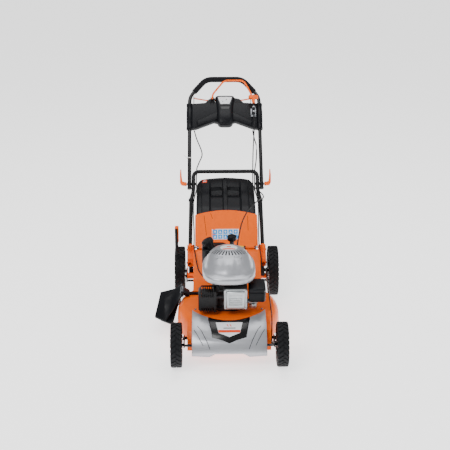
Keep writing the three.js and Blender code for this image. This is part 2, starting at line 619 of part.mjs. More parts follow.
// ---------------------------------------------------------------- axles and height adjustment
const capsule = (a, b, r) => {
  const along = Math.atan2(b.z - a.z, b.y - a.y);
  const points = [];
  for (let i = 0; i <= 6; i++) {
    const angle = along + Math.PI / 2 + (Math.PI * i) / 6;
    points.push([a.y + r * Math.cos(angle), a.z + r * Math.sin(angle)]);
  }
  for (let i = 0; i <= 6; i++) {
    const angle = along - Math.PI / 2 + (Math.PI * i) / 6;
    points.push([b.y + r * Math.cos(angle), b.z + r * Math.sin(angle)]);
  }
  return points;
};

// An arm from an axle's pivot to its wheel, with a pin for the height link `linkReach` above the pivot.
function swingArm(pivot, wheel, side, linkReach = 0) {
  const [x0, x1] = side > 0 ? [ARM_X - 6, ARM_X] : [-ARM_X, 6 - ARM_X];
  let arm = prism("x", capsule(pivot, wheel, 14), x0, x1);
  if (linkReach) {
    const pinAt = (x) => xyz(side * x, pivot.y, pivot.z + linkReach);
    arm = join(arm, prism("x", capsule(pivot, { y: pivot.y, z: pivot.z + linkReach }, 9), x0, x1));
    arm = join(arm, rod(pinAt(LINK_X - 4), pinAt(ARM_X - 3), 3, 10));
  }
  const stub = rod(xyz(side * (ARM_X - 3), wheel.y, wheel.z), xyz(side * (WHEEL_X + 27), wheel.y, wheel.z), AXLE_R - 1.5, 14);
  return join(arm, stub);
}

function frontAxle() {
  const wheel = { y: FRONT_Y, z: FRONT_TYRE_R };
  let axle = join(swingArm(FRONT_PIVOT, wheel, 1, -LINK_ARM), swingArm(FRONT_PIVOT, wheel, -1));
  for (const side of [-1, 1])
    axle = join(axle, rod(xyz(side * 172, FRONT_PIVOT.y, FRONT_PIVOT.z), xyz(side * (ARM_X - 3), FRONT_PIVOT.y, FRONT_PIVOT.z), 7, 14));
  const bar = { y: FRONT_PIVOT.y - 56, z: FRONT_PIVOT.z - 6 };
  return join(axle, rod(xyz(6 - ARM_X, bar.y, bar.z), xyz(ARM_X - 6, bar.y, bar.z), 6, 10));
}
add("front_axle", frontAxle(), STEEL);

function rearAxle() {
  const wheel = { y: REAR_Y, z: REAR_TYRE_R };
  const bar = { y: REAR_PIVOT.y + 28, z: REAR_PIVOT.z - 39 };
  let axle = rod(xyz(6 - ARM_X, bar.y, bar.z), xyz(ARM_X - 6, bar.y, bar.z), 6, 10);
  for (const side of [-1, 1]) {
    const [x0, x1] = side > 0 ? [ARM_X - 6, ARM_X] : [-ARM_X, 6 - ARM_X];
    axle = join(axle, swingArm(REAR_PIVOT, wheel, side, side > 0 ? LINK_ARM : 0), prism("x", capsule(REAR_PIVOT, bar, 9), x0, x1));
  }
  return cut(axle, rod(xyz(-230, REAR_PIVOT.y, REAR_PIVOT.z), xyz(230, REAR_PIVOT.y, REAR_PIVOT.z), 7.2, 16));
}
add("rear_axle", rearAxle(), STEEL);

function heightLever() {
  const [x0, x1] = [-ARM_X - 3.6, -ARM_X - 0.5];
  const stem = prism("x", [[278, 150], [302, 150], [298, 262], [282, 262]], x0, x1);
  const step = box(-248, x1, 282, 298, 258, 264);
  const grip = prism("x", [[281, 260], [299, 260], [303, 384], [297, 398], [286, 398], [279, 384]], -257, -241, 4);
  return join(stem, step, grip);
}
add("height_lever", heightLever(), BLACK_PLASTIC);

// The rod joins the two axles' pins. Its front eye is a slot, since the two pins' arcs bend opposite ways.
function linkRod() {
  const x = LINK_X - 1.5;
  const front = { y: FRONT_PIVOT.y, z: FRONT_PIVOT.z - LINK_ARM };
  const rear = { y: REAR_PIVOT.y, z: REAR_PIVOT.z + LINK_ARM };
  const slot = [{ y: front.y, z: front.z - 0.5 }, { y: front.y, z: front.z + 5.5 }];
  const path = [xyz(x, front.y + 7, front.z + 6), xyz(x, front.y + 27, 92), xyz(x, front.y + 45, 186), xyz(x, 210, 186),
    xyz(x, rear.y - 8, rear.z)];
  const eyes = [prism("x", capsule(...slot, 9), x - 3, x + 3), prism("x", capsule(rear, rear, 9), x - 3, x + 3)];
  const holes = [prism("x", capsule(...slot, 4.2), x - 9, x + 9), prism("x", capsule(rear, rear, 4.2), x - 9, x + 9)];
  return cut(join(tube(rounded(path, 30), 3, 8), ...eyes), ...holes);
}
add("link_rod", linkRod(), BLACK_PAINT);

// ---------------------------------------------------------------- wheels
function wheel(name, r, x, y, geared) {
  const side = Math.sign(x);
  const seat = r - 25;
  const h = TYRE_W / 2;
  const turnOut = (solid) => moved(side < 0 ? mirrored(solid) : solid, x, y, r);
  const tyre = turned([[seat, -h + 5], [r - 7, -h], [r, -h + 8], [r, h - 8], [r - 7, h], [seat, h - 5]], 24, "x");
  add(`${name}_tyre`, turnOut(tyre), RUBBER);
  const well = seat - 1.3;
  const barrel = geared ? RING_R + 9 : well - 8;
  let rim = turned([[7.2, -h + 3], [18, -h + 3], [18, 4], [barrel, 4], [barrel, -h + 5], [well, -h + 5], [well, h - 5],
    [well - 8, h - 5], [well - 8, 9], [18, 9], [18, h - 3], [7.2, h - 3]], 16, "x");
  if (geared) {
    const blank = rod(xyz(-h + 5, 0, 0), xyz(-7, 0, 0), barrel + 3, 24);
    const teeth = toothOutline(RING_TEETH, RING_R + 3.8, RING_R - 2.8, 0.5, 0.2, Math.PI * (1 + 1 / RING_TEETH));
    rim = join(rim, cut(blank, prism("x", teeth, -h, 0)));
  }
  add(`${name}_rim`, turnOut(rim), BLACK_PLASTIC);
}
wheel("front_left", FRONT_TYRE_R, -WHEEL_X, FRONT_Y, false);
wheel("front_right", FRONT_TYRE_R, WHEEL_X, FRONT_Y, false);
wheel("rear_left", REAR_TYRE_R, -WHEEL_X, REAR_Y, true);
wheel("rear_right", REAR_TYRE_R, WHEEL_X, REAR_Y, true);

// ---------------------------------------------------------------- lower handle
const legs = (points) => [...points, ...points.toReversed().map((p) => p.clone().setX(-p.x))];

function lowerHandle() {
  const path = legs([xyz(-FOOT_X, -28, 0), xyz(-KNEE_X, 328, 0), xyz(-LOWER_X, 376, 0), xyz(-LOWER_X, CROSSBAR_S, 0)]);
  let handle = tube(rounded(path, 34), TUBE_R, 10);
  for (const side of [-1, 1])
    handle = join(handle, rod(xyz(side * (LOWER_X - 14), FOLD_S, 0), xyz(side * (UPPER_X + 12.4), FOLD_S, 0), 4, 8));
  return handle;
}
add("lower_handle", lowerHandle(), BLACK_PAINT, handleFrame);

// An orange bracket on the deck's side that holds one foot of the lower handle, with a knob on top.
function handleBracket() {
  const outline = [[286, 182], [302, 173], [344, 206], [368, 258], [354, 272], [330, 262], [288, 224]];
  const plate = prism("x", outline, NECK_X + 0.5, 198);
  const knobProfile = [[0, 240], [9, 240], [9, 266], [11, 270], [11, 284], [8, 288], [0, 288]];
  const knob = moved(turned(knobProfile, 12), 182.6, 322, 0);
  const [c, s] = [Math.cos(HANDLE_ANGLE), Math.sin(HANDLE_ANGLE)];
  const along = (d) => xyz(FOOT_X - 0.014 * d, HANDLE_FOOT.y + d * c, HANDLE_FOOT.z + d * s);
  return cut(join(plate, knob), rod(along(-60), along(120), TUBE_R + 0.9, 12));
}
add("handle_bracket_right", handleBracket(), ORANGE_PAINT);
add("handle_bracket_left", mirrored(handleBracket()), ORANGE_PAINT);

// ---------------------------------------------------------------- upper handle
const BEND_S = 953;
const GRIP_X = 100;
const UPPER_FOOT_S = 392;

function upperHandle() {
  const path = legs([xyz(-UPPER_X, UPPER_FOOT_S, 0), xyz(-UPPER_X, BEND_S, 0), xyz(-GRIP_X, GRIP_S, 0)]);
  let handle = tube(rounded(path, 34), TUBE_R, 10);
  for (const side of [-1, 1])
    handle = cut(handle, rod(xyz(side * (UPPER_X - 12), FOLD_S, 0), xyz(side * (UPPER_X + 12), FOLD_S, 0), 4.6, 10));
  return handle;
}
add("upper_handle", upperHandle(), BLACK_PAINT, handleFrame);

function foamGrip() {
  const path = rounded([xyz(24 - UPPER_X, BEND_S + 30.6, 0), xyz(-GRIP_X, GRIP_S, 0), xyz(GRIP_X, GRIP_S, 0),
    xyz(UPPER_X - 24, BEND_S + 30.6, 0)], 34);
  const beyond = (end, next) => end.clone().addScaledVector(end.clone().sub(next).normalize(), 2);
  const bore = [beyond(path[0], path[1]), ...path.slice(1, -1), beyond(path.at(-1), path.at(-2))];
  return cut(tube(path, 14.4, 12), tube(bore, TUBE_R + 1.4, 10));
}

const consoleHalf = [
  [190, 906], [150, 908], [58, 915], [58, 940], [54, 952], [-2, 954], [-2, 764], [28, 766], [48, 782], [58, 792],
  [150, 752], [190, 746],
];
const BAIL_S = 930;
const BAIL_H = 22;
const DRIVE_BAIL_X = [-66, 150];

function consoleBody() {
  const half = join(
    prism("z", consoleHalf, -16, 16),
    prism("z", [[-2, 768], [26, 770], [46, 786], [56, 900], [52, 950], [-2, 952]], -30, 34, 6),
    prism("z", [[50, 880], [112, 880], [108, 908], [84, 936], [50, 944]], -30, 10),
    rod(xyz(UPPER_X, 746, 0), xyz(UPPER_X, 908, 0), 17, 14),
  );
  let body = join(half, mirrored(half));
  for (const x of DRIVE_BAIL_X)
    for (const at of [x - 9, x + 6]) {
      const lug = prism("x", [[890, 8], [934, 8], [938, 14], [938, 26], [932, 29], [922, 29], [900, 16]], at, at + 3);
      body = join(body, lug);
    }
  const bailPins = rod(xyz(-120, BAIL_S, BAIL_H), xyz(220, BAIL_S, BAIL_H), 3.8, 8);
  const bailRoom = DRIVE_BAIL_X.map((x) => box(x - 6, x + 6, 914, 970, 14, 40));
  const tubes = [-1, 1].map((side) => rod(xyz(side * UPPER_X, 700, 0), xyz(side * UPPER_X, 950, 0), TUBE_R + 0.9, 10));
  return cut(body, bailPins, ...bailRoom, ...tubes);
}

function driveBail() {
  const [x0, x1] = DRIVE_BAIL_X;
  const path = [xyz(x0, BAIL_S, BAIL_H), xyz(x0 + 4, BAIL_S + 24, BAIL_H + 6), xyz(0, 1026, 50), xyz(106, 1026, 50),
    xyz(x1 - 4, BAIL_S + 24, BAIL_H + 6), xyz(x1, BAIL_S, BAIL_H)];
  const pins = [x0, x1].map((x) => rod(xyz(x - 8.6, BAIL_S, BAIL_H), xyz(x + 8.6, BAIL_S, BAIL_H), 3, 8));
  return join(tube(rounded(path, 22), 4, 8), ...pins);
}

const BRAKE_PIVOT = { s: 946, h: 0 };
const BRAKE_LEAN = THREE.MathUtils.degToRad(-65);

function brakeBail() {
  const [c, s] = [Math.cos(BRAKE_LEAN), Math.sin(BRAKE_LEAN)];
  const at = (x, reach) => xyz(x, BRAKE_PIVOT.s + reach * c, BRAKE_PIVOT.h + reach * s);
  const path = legs([at(-158, 0), at(-156, 22), at(-88, 112)]);
  const pins = [-1, 1].map((side) => rod(at(side * 156, 0), at(side * 169, 0), 3, 8));
  return join(tube(rounded(path, 26), 3.5, 8), ...pins);
}

// Two small brackets hold the brake bail's pins on the inner sides of the handle.
function brakeBrackets(body) {
  let solid = body;
  for (const side of [-1, 1]) {
    const [x0, x1] = side > 0 ? [163.8, 167.4] : [-167.4, -163.8];
    const arm = prism("x", [[896, -8], [946, -9], [954, -4], [954, 5], [946, 9], [896, 8]], x0, x1);
    solid = join(solid, arm);
  }
  return cut(solid, rod(xyz(-176, BRAKE_PIVOT.s, BRAKE_PIVOT.h), xyz(176, BRAKE_PIVOT.s, BRAKE_PIVOT.h), 3.8, 8));
}

add("foam_grip", foamGrip(), FOAM, handleFrame);
add("console", brakeBrackets(consoleBody()), BLACK_PLASTIC, handleFrame);
add("drive_bail", driveBail(), ORANGE_PAINT, handleFrame);
add("brake_bail", brakeBail(), ORANGE_PAINT, handleFrame);

// ---------------------------------------------------------------- fold clamps
const CAM_X = UPPER_X + 21;

// A quick-release lever: its barrel bears on the end of the fold bolt, and the blade swings outwards.
function camLever() {
  const barrel = rod(xyz(CAM_X, FOLD_S, -9), xyz(CAM_X, FOLD_S, 9), 8, 14);
  const blade = [[2, -7.5], [12, -8], [22, -4], [28, 8], [29, 50], [27, 83], [22, 83], [19, 40], [15, 14], [2, 7.5]];
  return join(barrel, prism("z", blade.map(([x, along]) => [CAM_X + x, FOLD_S + along]), -8, 8, 2));
}
add("cam_lever_right", camLever(), ORANGE_PLASTIC, handleFrame);
add("cam_lever_left", mirrored(camLever()), ORANGE_PLASTIC, handleFrame);

// ---------------------------------------------------------------- cables and starter rope
const CABLE_X = 152; // beside the fold's axis
const FOLD_TRIM = 7; // each side of the fold's axis is left free of cable in these solids
const cable = (points) => tube(smooth(points, 18), CABLE_R, 8);

add("brake_cable_upper", cable([xyz(-163, 742, -2), xyz(-150, 690, -2), xyz(-122, 600, 4), xyz(-138, 540, 11),
  xyz(-149, 505, 15), xyz(-150, 480, 15), xyz(-CABLE_X, 455, 7), xyz(-CABLE_X, FOLD_S + FOLD_TRIM, 0)]), RUBBER, handleFrame);
add("brake_cable_lower", cable([xyz(-CABLE_X, FOLD_S - FOLD_TRIM, 0), xyz(-CABLE_X, 385, 0), xyz(-160, 350, 2),
  xyz(-167, 310, 2), xyz(-167.5, 220, 4), xyz(-164, 150, 10), onHandle(-163, 345, 300), onHandle(-163, 312, 287),
  onHandle(-158, 262, 266), onHandle(-140, 160, 224), onHandle(-112, 50, 240), onHandle(-82, -20, 262)]),
  RUBBER, handleFrame);
add("drive_cable_upper", cable([xyz(150, 742, -2), xyz(158, 690, -2), xyz(168, 640, 0), xyz(164, 560, 8),
  xyz(156, 505, 15), xyz(CABLE_X, 480, 15), xyz(CABLE_X, 455, 7), xyz(CABLE_X, FOLD_S + FOLD_TRIM, 0)]),
  RUBBER, handleFrame);
add("drive_cable_lower", cable([xyz(CABLE_X, FOLD_S - FOLD_TRIM, 0), xyz(CABLE_X, 385, 0), xyz(160, 350, 2),
  xyz(167, 310, 2), xyz(167.5, 220, 4), xyz(164, 150, 10), onHandle(163, 345, 300), onHandle(163, 312, 287),
  onHandle(167, 268, 268), onHandle(171, 236, 240), onHandle(171, 214, 175)]), RUBBER, handleFrame);

const ROPE_R = 2.5;
const ROPE_X = 143;
const STARTER_X = 156;
const STARTER_S = 884;
const STARTER_H = 47;
add("starter_rope_lower", tube(smooth([onHandle(46, 66, 398), onHandle(52, 90, 408), onHandle(83, 180, 434),
  onHandle(125, 300, 468), onHandle(166, 392, 490), onHandle(184, 480, 472), xyz(196, 335, 10), xyz(190, 350, 15), xyz(166, 376, 15.5),
  xyz(148, 398, 6), xyz(ROPE_X, FOLD_S - FOLD_TRIM, 0)], 24), ROPE_R, 8), RUBBER, handleFrame);
add("starter_rope_upper", tube(smooth([xyz(ROPE_X, FOLD_S + FOLD_TRIM, 0), xyz(ROPE_X, 455, 7), xyz(ROPE_X, 480, 15), xyz(144, 505, 16),
  xyz(148, 600, 22), xyz(STARTER_X, 730, 40), xyz(STARTER_X, 800, STARTER_H), xyz(STARTER_X, STARTER_S - 1, STARTER_H)],
  18), ROPE_R, 8),
  RUBBER, handleFrame);

function ropeGuide() {
  const plate = box(STARTER_X - 14, STARTER_X + 14, 816, 866, 16.6, 19.4);
  let guide = plate;
  for (const s of [824, 852]) {
    const eye = prism("y", [[17, STARTER_X - 9], [17, STARTER_X + 9], [STARTER_H, STARTER_X + 10], [STARTER_H + 9, STARTER_X + 5],
      [STARTER_H + 9, STARTER_X - 5], [STARTER_H, STARTER_X - 10]], s, s + 8);
    guide = join(guide, eye);
  }
  return cut(guide, rod(xyz(STARTER_X, 800, STARTER_H), xyz(STARTER_X, 880, STARTER_H), ROPE_R + 0.8, 8));
}
add("rope_guide", ropeGuide(), STEEL, handleFrame);

function starterGrip() {
  const along = (d) => xyz(STARTER_X, STARTER_S + d, STARTER_H);
  const stem = join(rod(along(0), along(18), 6, 12, 10), rod(along(17.5), along(36), 10, 12, 9));
  const bar = prism("z", [[-26, 32], [-21, 27], [21, 27], [26, 32], [26, 42], [21, 48], [-21, 48], [-26, 42]]
    .map(([x, s]) => [x + STARTER_X, s + STARTER_S]), STARTER_H - 9, STARTER_H + 9, 3);
  return join(stem, bar);
}
add("starter_grip", starterGrip(), ORANGE_PLASTIC, handleFrame);

// ---------------------------------------------------------------- rear flap
const FLAP_LENGTH = Math.hypot(FLAP_TIP.y - HINGE.y, FLAP_TIP.z - HINGE.z);
add("flap_hinge_rod", rod(xyz(-NECK_X - 0.5, HINGE.y, HINGE.z), xyz(NECK_X + 0.5, HINGE.y, HINGE.z), 4, 12), STEEL);

function rearFlap() {
  let flap = box(-FLAP_X, FLAP_X, 0, FLAP_LENGTH, 6, 8.8);
  for (const [x0, x1] of [[-FLAP_X, 2.8 - FLAP_X], [FLAP_X - 2.8, FLAP_X]])
    flap = join(flap, prism("x", [[16, 8], [16, -12], [40, -16], [FLAP_LENGTH - 12, -16], [FLAP_LENGTH, -8], [FLAP_LENGTH, 8]], x0, x1));
  for (const x of [-118, 118]) flap = join(flap, rod(xyz(x - 22, 0, 0), xyz(x + 22, 0, 0), 8.6, 16));
  flap = join(flap, box(-90, 90, 60, 66, 8, 11), box(-90, 90, 150, 156, 8, 11));
  return cut(flap, rod(xyz(-160, 0, 0), xyz(160, 0, 0), 4.6, 14));
}
const flapMesh = add("rear_flap", rearFlap(), ORANGE_PAINT);
flapMesh.position.set(0, HINGE.y, HINGE.z);
flapMesh.rotation.x = Math.atan2(FLAP_TIP.z - HINGE.z, FLAP_TIP.y - HINGE.y);

// ---------------------------------------------------------------- grass catcher
const LID_TOP = [[356, 293], [474, 398], [560, 424], [680, 452], [CATCHER_REAR.y - 14, CATCHER_REAR.z], [CATCHER_REAR.y, CATCHER_REAR.z - 8]];
const BAG_SIDE = [[349, 164], [352, 258], [CATCHER_REAR.y + 2, 404], [CATCHER_REAR.y - 8, 250], [CATCHER_REAR.y - 45, 92],
  [CATCHER_REAR.y - 75, 76], [430, 70], [366, 120]];

function catcherLid() {
  const outline = [[352, 262], ...LID_TOP, [CATCHER_REAR.y + 8, 408]];
  const inner = [[340, 258], [359, 289], [474, 394.5], [560, 420.5], [680, 448.5], [CATCHER_REAR.y - 15, CATCHER_REAR.z - 3.6],
    [CATCHER_REAR.y - 2, CATCHER_REAR.z - 12], [CATCHER_REAR.y + 5, 400], [CATCHER_REAR.y, 380]];
  const shell = cut(prism("x", outline, -CATCHER_X + 2, CATCHER_X - 2), prism("x", inner, -CATCHER_X + 5, CATCHER_X - 5));
  return cut(shell, box(-CATCHER_X + 12, CATCHER_X - 12, 340, 358, 240, 280));
}
add("catcher_lid", catcherLid(), BLACK_PLASTIC);

function catcherBag() {
  const inner = [[340, 168], [340, 300], [CATCHER_REAR.y - 1, 440], [CATCHER_REAR.y - 12, 250], [CATCHER_REAR.y - 48, 96],
    [CATCHER_REAR.y - 77, 80], [432, 74], [369, 123]];
  return cut(prism("x", BAG_SIDE, -CATCHER_X + 2, CATCHER_X - 2), prism("x", inner, -CATCHER_X + 6, CATCHER_X - 6));
}
add("catcher_bag", catcherBag(), FABRIC);

// ---------------------------------------------------------------- side discharge
const SIDE_HINGE = { x: -216, z: 190 };

function flapSurface(u, v) {
  const y = 86 - 140 * v - u * (84 - 50 * v);
  return xyz(SIDE_HINGE.x - 4 - u * 80, y, SIDE_HINGE.z - u * (30 + 88 * v * v));
}

function sideFlap() {
  const plate = sheet(flapSurface, 4, 6, -3.5);
  const knuckles = [[-46, -22], [44, 68]].map(([y0, y1]) => rod(xyz(SIDE_HINGE.x, y0, SIDE_HINGE.z), xyz(SIDE_HINGE.x, y1, SIDE_HINGE.z), 7, 14));
  return cut(join(plate, ...knuckles), rod(xyz(SIDE_HINGE.x, -90, SIDE_HINGE.z), xyz(SIDE_HINGE.x, 120, SIDE_HINGE.z), 3.6, 12));
}
add("side_flap", sideFlap(), BLACK_PLASTIC);

// The hinge carrier stands on the deck's shoulder and holds the flap's pin.
function sideHinge() {
  const pin = rod(xyz(SIDE_HINGE.x, -50, SIDE_HINGE.z), xyz(SIDE_HINGE.x, 72, SIDE_HINGE.z), 3, 12);
  const lug = prism("y", [[178, -182], [186, -196], [197, SIDE_HINGE.x], [183, SIDE_HINGE.x], [172, -202], [171.5, -182]], -18, 40);
  const pad = box(-184, -132, 2, 22, DECK_TOP + 0.5, 178);
  return join(pin, lug, pad);
}
add("side_hinge", sideHinge(), BLACK_PAINT);

function sideChute() {
  const top = [xyz(-214, 96, 168), xyz(-326, 111, 130), xyz(-348, -32, 76), xyz(-262, -97, 66)];
  const hexahedron = (roof, floor) => fromTriangles([...roof, ...floor], [
    [0, 1, 2], [0, 2, 3], [4, 6, 5], [4, 7, 6], [0, 5, 1], [0, 4, 5], [1, 6, 2], [1, 5, 6], [2, 7, 3], [2, 6, 7], [3, 4, 0], [3, 7, 4],
  ]);
  const down = (points, z) => points.map((p) => xyz(p.x, p.y, z));
  const outer = hexahedron(top, down(top, 61));
  const within = [xyz(-180, 94, 164), xyz(-345, 107, 118), xyz(-372, -24, 64), xyz(-230, -104, 62)];
  const hollow = hexahedron(within, down(within, 40));
  return cut(outer, hollow, drum(1.2, 30, DECK_TOP + 1.2));
}
add("side_chute", sideChute(), BLACK_PLASTIC);

// ---------------------------------------------------------------- the part's own origin
mower.updateMatrixWorld(true);
const extent = new THREE.Box3().setFromObject(mower, true);
const middle = extent.getCenter(new THREE.Vector3());
mower.position.set(-middle.x, -middle.y, -extent.min.z);

export default mower;
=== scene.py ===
"""Looks for the petrol lawn mower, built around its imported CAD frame.

Lengths are written in millimetres in the mower's design frame: x across, y from nose to handle with 0
midway between the axles, z up from the ground. at() turns them into the part's own frame in metres.
on_handle() does the same from the handle's frame: x across, s along the handle, h square to it.
"""
import json
import math

import bmesh
import bpy
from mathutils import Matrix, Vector, noise
from mathutils.bvhtree import BVHTree

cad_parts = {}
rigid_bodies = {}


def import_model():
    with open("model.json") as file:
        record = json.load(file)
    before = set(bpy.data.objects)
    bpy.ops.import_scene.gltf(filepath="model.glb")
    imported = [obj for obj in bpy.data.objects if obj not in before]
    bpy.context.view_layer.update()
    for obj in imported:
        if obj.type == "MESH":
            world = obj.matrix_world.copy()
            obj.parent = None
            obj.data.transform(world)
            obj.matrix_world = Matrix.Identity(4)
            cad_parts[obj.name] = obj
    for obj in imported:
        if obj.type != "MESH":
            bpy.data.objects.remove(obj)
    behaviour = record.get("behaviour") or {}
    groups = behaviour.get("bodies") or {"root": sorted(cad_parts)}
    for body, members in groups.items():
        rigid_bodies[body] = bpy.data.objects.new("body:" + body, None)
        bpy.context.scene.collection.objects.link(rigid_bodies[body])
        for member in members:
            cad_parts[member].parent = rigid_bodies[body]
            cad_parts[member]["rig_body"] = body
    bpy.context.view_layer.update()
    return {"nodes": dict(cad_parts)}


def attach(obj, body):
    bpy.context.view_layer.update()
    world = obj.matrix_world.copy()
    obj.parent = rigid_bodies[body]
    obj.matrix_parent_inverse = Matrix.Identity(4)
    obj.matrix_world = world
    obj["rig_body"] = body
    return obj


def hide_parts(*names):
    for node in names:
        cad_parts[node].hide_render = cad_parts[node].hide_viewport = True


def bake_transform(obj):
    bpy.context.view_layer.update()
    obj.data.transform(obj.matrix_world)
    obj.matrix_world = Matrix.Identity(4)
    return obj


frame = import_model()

MM = 0.001
ORIGIN = Vector((42.5, -337.99, -0.868))
HANDLE_FOOT = Vector((0, 317, 214))
COS_H = math.cos(math.radians(42))
SIN_H = math.sin(math.radians(42))


def at(x, y, z):
    return (Vector((x, y, z)) + ORIGIN) * MM


def on_handle(x, s, h=0.0):
    return at(x, HANDLE_FOOT.y + s * COS_H - h * SIN_H, HANDLE_FOOT.z + s * SIN_H + h * COS_H)


# ---------------------------------------------------------------- materials
SHINE_OF = {
    "black_plastic": 0.18, "gloss_black": 0.35, "black_paint": 0.35, "tyre": 0.18, "rim": 0.25,
    "rubber": 0.2, "foam": 0.1,
    "fabric": 0.15, "heat_black": 0.25, "painted_shade_and_print_black": 0.05, "orange_paint": 0.16, "orange_plastic": 0.16,
    "red_label": 0.15, "blue_label": 0.15, "white_label": 0.2, "floor": 0.1,
}


def nodes_of(name, color, roughness, metallic=0.0, coat=0.0, sheen=0.0):
    made = bpy.data.materials.new(name)
    made.use_nodes = True
    tree = made.node_tree
    shader = tree.nodes["Principled BSDF"]
    shader.inputs["Base Color"].default_value = (*color, 1)
    shader.inputs["Roughness"].default_value = roughness
    shader.inputs["Metallic"].default_value = metallic
    shader.inputs["Coat Weight"].default_value = coat
    shader.inputs["Coat Roughness"].default_value = 0.12
    shader.inputs["Sheen Weight"].default_value = sheen
    shader.inputs["Specular IOR Level"].default_value = SHINE_OF.get(name, 0.4)
    return made, tree, shader


def texture(tree, kind, scale, stretch=(1, 1, 1), **settings):
    """A procedural texture on the piece's own coordinates, which are metres."""
    coords = tree.nodes.new("ShaderNodeTexCoord")
    mapping = tree.nodes.new("ShaderNodeMapping")
    mapping.inputs["Scale"].default_value = [scale * k for k in stretch]
    tree.links.new(coords.outputs["Object"], mapping.inputs["Vector"])
    found = tree.nodes.new(kind)
    tree.links.new(mapping.outputs["Vector"], found.inputs["Vector"])
    for key, value in settings.items():
        if key in found.inputs:
            found.inputs[key].default_value = value
        else:
            setattr(found, key, value)
    return found


def ramp(tree, source, stops):
    found = tree.nodes.new("ShaderNodeValToRGB")
    tree.links.new(source, found.inputs["Fac"])
    elements = found.color_ramp.elements
    while len(elements) < len(stops):
        elements.new(0.5)
    for element, (place, color) in zip(elements, stops):
        element.position = place
        element.color = (*color, 1)
    return found.outputs["Color"]


def grey(v):
    return (v, v, v)


def shade(color, k):
    return tuple(min(1.0, c * k) for c in color)


def bumped(tree, shader, height, distance, strength=1.0):
    bump = tree.nodes.new("ShaderNodeBump")
    bump.inputs["Distance"].default_value = distance
    bump.inputs["Strength"].default_value = strength
    tree.links.new(height, bump.inputs["Height"])
    tree.links.new(bump.outputs["Normal"], shader.inputs["Normal"])


def finish_of(name, color, roughness, metallic=0.0, coat=0.0, sheen=0.0, grain=900, depth=0.00004,
              vary=0.12, stretch=(1, 1, 1), blotch=14):
    """A finish whose colour and roughness drift slowly, with a fine grain in its bump."""
    made, tree, shader = nodes_of(name, color, roughness, metallic, coat, sheen)
    slow = texture(tree, "ShaderNodeTexNoise", blotch, Detail=5.0, Roughness=0.6)
    stops = [(0.3, shade(color, 1 - vary)), (0.72, shade(color, 1 + vary * 0.7))]
    tree.links.new(ramp(tree, slow.outputs["Fac"], stops), shader.inputs["Base Color"])
    patches = texture(tree, "ShaderNodeTexNoise", blotch * 6, Detail=3.0)
    dull = ramp(tree, patches.outputs["Fac"],
                [(0.3, grey(roughness * 0.85)), (0.7, grey(min(1, roughness * 1.18)))])
    tree.links.new(dull, shader.inputs["Roughness"])
    fine = texture(tree, "ShaderNodeTexNoise", grain, stretch, Detail=2.0)
    bumped(tree, shader, fine.outputs["Fac"], depth)
    return made


def woven(name, color, pitch=0.0024):
    """Plain-weave polyester: two crossed sets of bands. The colour follows the weave's height: painted shade
    in the gaps between the yarns and a painted highlight on their tops.
    """
    made, tree, shader = nodes_of(name, color, 0.88, sheen=0.25)
    heights = []
    for stretch, direction in (((1, 1, 0), "DIAGONAL"), ((1, 1, 1), "Z")):
        bands = texture(tree, "ShaderNodeTexWave", 0.0628 / pitch, stretch, bands_direction=direction)
        heights.append(bands.outputs["Fac"])
    both = tree.nodes.new("ShaderNodeMath")
    both.operation = "MULTIPLY"
    tree.links.new(heights[0], both.inputs[0])
    tree.links.new(heights[1], both.inputs[1])
    # Colour from the weave's height: painted shade in the gaps, painted highlight on the yarn tops.
    painted_weave_shade = ramp(tree, both.outputs[0], [(0.0, shade(color, 0.75)), (0.6, shade(color, 1.25))])
    tree.links.new(painted_weave_shade, shader.inputs["Base Color"])
    bumped(tree, shader, both.outputs[0], 0.0004)
    return made


ORANGE = finish_of("orange_paint", (1.0, 0.135, 0.0), 0.34, coat=0.04, grain=420, depth=0.00006, vary=0.07)
ORANGE_PLASTIC = finish_of("orange_plastic", (0.95, 0.13, 0.006), 0.42, grain=1200, depth=0.00003, vary=0.06)
SILVER = finish_of("silver_plastic", (0.42, 0.43, 0.46), 0.34, 0.5, coat=0.25, grain=2600, depth=0.00002,
                   vary=0.05)
PLASTIC = finish_of("black_plastic", (0.004, 0.0045, 0.0065), 0.4, grain=1400, depth=0.00007, vary=0.2)
GLOSS_BLACK = finish_of("gloss_black", (0.004, 0.004, 0.005), 0.25, coat=0.1, grain=300, depth=0.00002,
                        vary=0.2)
TUBE = finish_of("black_paint", (0.005, 0.005, 0.006), 0.28, coat=0.1, grain=500, depth=0.00005, vary=0.2)
TYRE = finish_of("tyre", (0.007, 0.0075, 0.009), 0.62, grain=700, depth=0.00012, vary=0.3, blotch=30)
RIM = finish_of("rim", (0.01, 0.01, 0.012), 0.45, grain=1100, depth=0.00006, vary=0.2)
RUBBER = finish_of("rubber", (0.012, 0.012, 0.013), 0.5, grain=900, depth=0.00006, vary=0.2)
FOAM = finish_of("foam", (0.009, 0.009, 0.011), 0.86, sheen=0.1, grain=1500, depth=0.0004, vary=0.25,
                 blotch=60)
FABRIC = woven("fabric", (0.012, 0.0125, 0.015))
STEEL = finish_of("zinc_steel", (0.3, 0.31, 0.33), 0.36, 1.0, grain=500, depth=0.00004, stretch=(1, 12, 12))
ALUMINIUM = finish_of("cast_aluminium", (0.5, 0.53, 0.54), 0.42, 0.85, grain=800, depth=0.00015, vary=0.08)
CAST = finish_of("dark_casting", (0.06, 0.06, 0.065), 0.62, 0.5, grain=600, depth=0.0002, vary=0.25)
EXHAUST = finish_of("heat_black", (0.01, 0.01, 0.011), 0.5, grain=900, depth=0.0001, vary=0.3)
WHITE = finish_of("white_label", (0.8, 0.81, 0.83), 0.3, coat=0.3, grain=200, depth=0.00001, vary=0.03)
BLUE = finish_of("blue_label", (0.02, 0.3, 0.75), 0.5, coat=0.0, grain=200, depth=0.00001, vary=0.12,
                 blotch=200)
RED = finish_of("red_label", (0.8, 0.06, 0.01), 0.5, coat=0.0, grain=200, depth=0.00001, vary=0.06)
